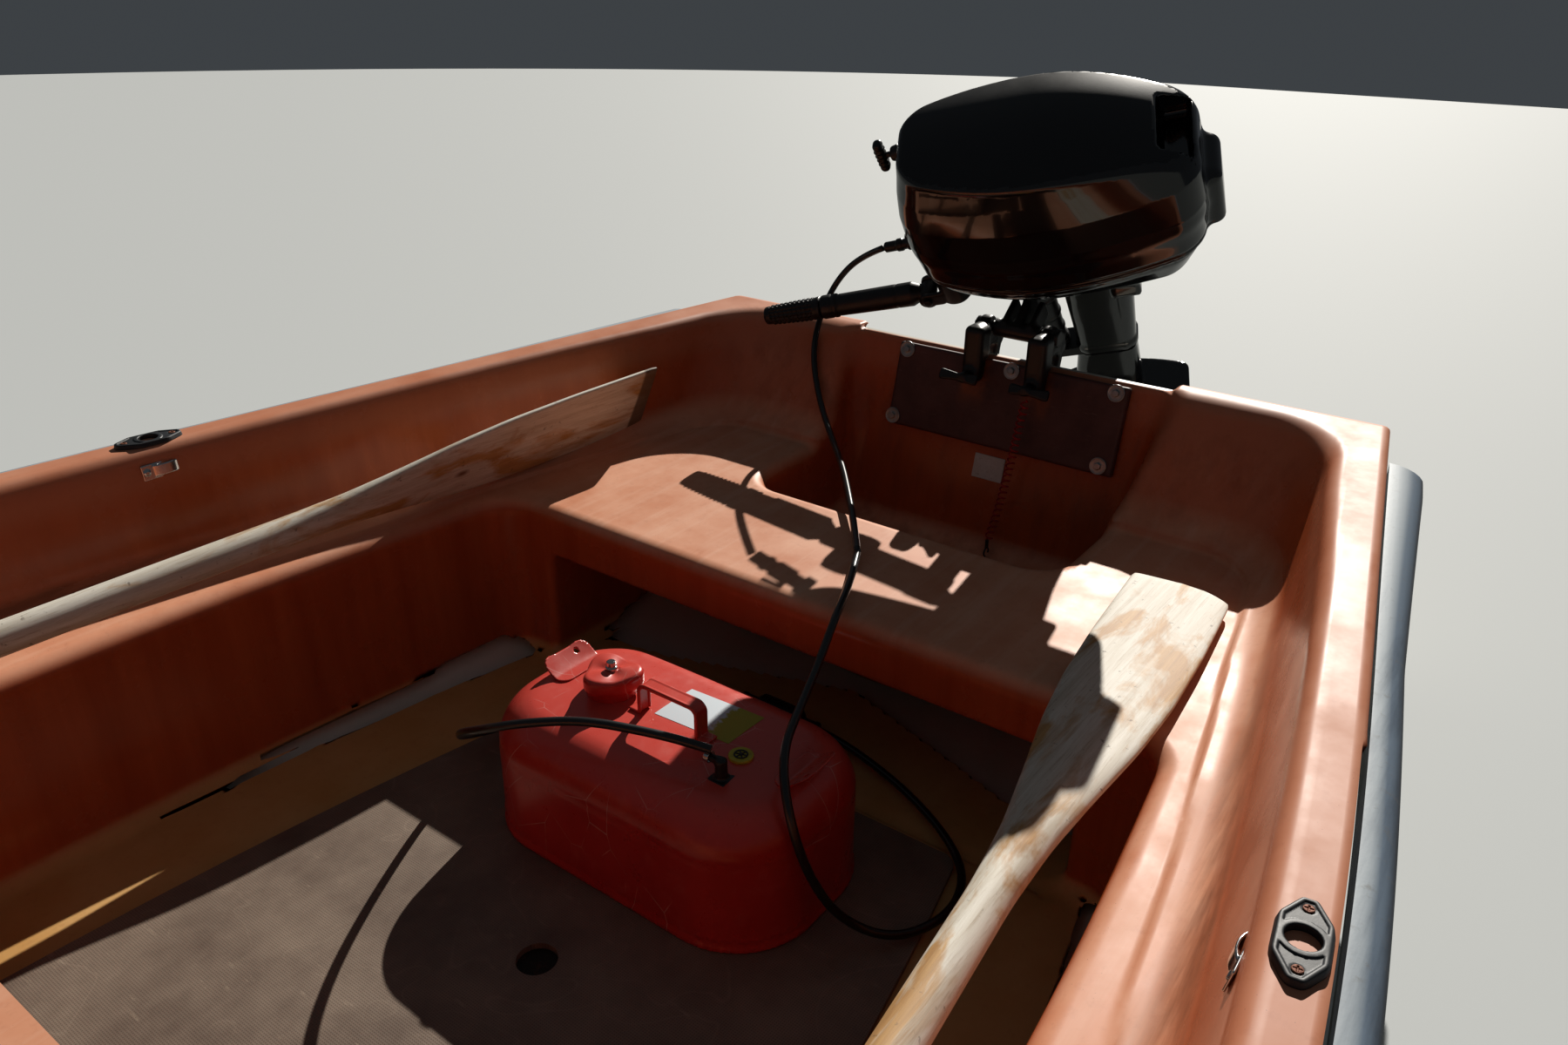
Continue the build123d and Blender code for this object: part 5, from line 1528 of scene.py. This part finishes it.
# Camera, fitted to the photograph: its place, its turns, and its focal length in pixels of the photograph
CAMERA_AT = (-0.157, 0.8874, 1.049)
FOCAL_PX, PHOTO_PX, SENSOR_MM = 1335.73, 1800, 36
yaw, pitch, roll = (math.radians(a) for a in (35.8669, 25.3263, -0.85))
forward = Vector((-math.cos(yaw) * math.cos(pitch), -math.sin(yaw) * math.cos(pitch), -math.sin(pitch)))
level = forward.cross(Vector((0, 0, 1))).normalized()
under = forward.cross(level)
right = math.cos(roll) * level + math.sin(roll) * under
down = -math.sin(roll) * level + math.cos(roll) * under
cam_data = bpy.data.cameras.new("camera")
cam_data.lens = FOCAL_PX / PHOTO_PX * SENSOR_MM
cam_data.sensor_width = SENSOR_MM
cam_data.clip_start = 0.02
cam = link(bpy.data.objects.new("camera", cam_data))
rows = [(right[i], -down[i], -forward[i], CAMERA_AT[i]) for i in range(3)]
cam.matrix_world = Matrix(rows + [(0, 0, 0, 1)])
bpy.context.scene.camera = cam

# Daylight: a low sun from the starboard quarter and an even sky
SKY_COLOR, SKY_LEVEL = (0.80, 0.90, 1.0, 1), 0.058
SUN_COLOR, SUN_LEVEL, SUN_SPREAD = (1.0, 0.95, 0.87), 5.0, math.radians(0.5)
SUN_RAYS = Vector((.839, .211, -.502))

world = bpy.data.worlds.new("sky")
bpy.context.scene.world = world
world.use_nodes = True
world.node_tree.nodes["Background"].inputs[0].default_value = SKY_COLOR
world.node_tree.nodes["Background"].inputs[1].default_value = SKY_LEVEL
bpy.context.scene.view_settings.view_transform = "Standard"
sun_data = bpy.data.lights.new("sun", "SUN")
sun_data.energy = SUN_LEVEL
sun_data.angle = SUN_SPREAD
sun_data.color = SUN_COLOR
sun = link(bpy.data.objects.new("sun", sun_data))
sun.rotation_euler = SUN_RAYS.to_track_quat("-Z", "Y").to_euler()

# Floor at the waterline with a hole of the hull's shape
FLOOR_R, FLOOR_X = 14, -0.2


def waterline():
    # the hull's outline at z = 0, a little inside its skin
    xs = np.concatenate([np.linspace(-2.04, 1.4, 60), np.linspace(1.42, 1.70, 20)])
    ys = []
    for x in xs:
        zb, zk = z_bilge(x), z_keel(x)
        y = 0
        if zb < 0:
            y = half_bilge(x) - (half_sheer(x) - half_bilge(x)) * zb / (z_sheer(x) - zb)
        elif zk < 0:
            y = -half_bilge(x) * zk / max(zb - zk, 1e-6)
        ys.append(max(float(y) - .02, 0.004))
    return list(zip(xs, ys)) + [(x, -y) for x, y in zip(xs[::-1], ys[::-1])]


ring = waterline()
n = len(ring)
vs = [(x, y, 0.0) for x, y in ring]
for x, y in ring:
    a = math.atan2(y, x - FLOOR_X)
    vs.append((FLOOR_X + FLOOR_R * math.cos(a), FLOOR_R * math.sin(a), 0.0))
fs = [(i, n + i, n + (i + 1) % n, (i + 1) % n) for i in range(n)]
floor_mat = Nodes("floor")
seen = floor_mat.n("LightPath").outputs["Is Camera Ray"]
floor_mat.done(color=floor_mat.mix(seen, (0.17, 0.19, 0.19, 1), (0.60, 0.63, 0.64, 1)), rough=0.8)
floor = link(bpy.data.objects.new("floor", make_mesh("floor", vs, fs, False)))
floor.data.materials.append(floor_mat.m)
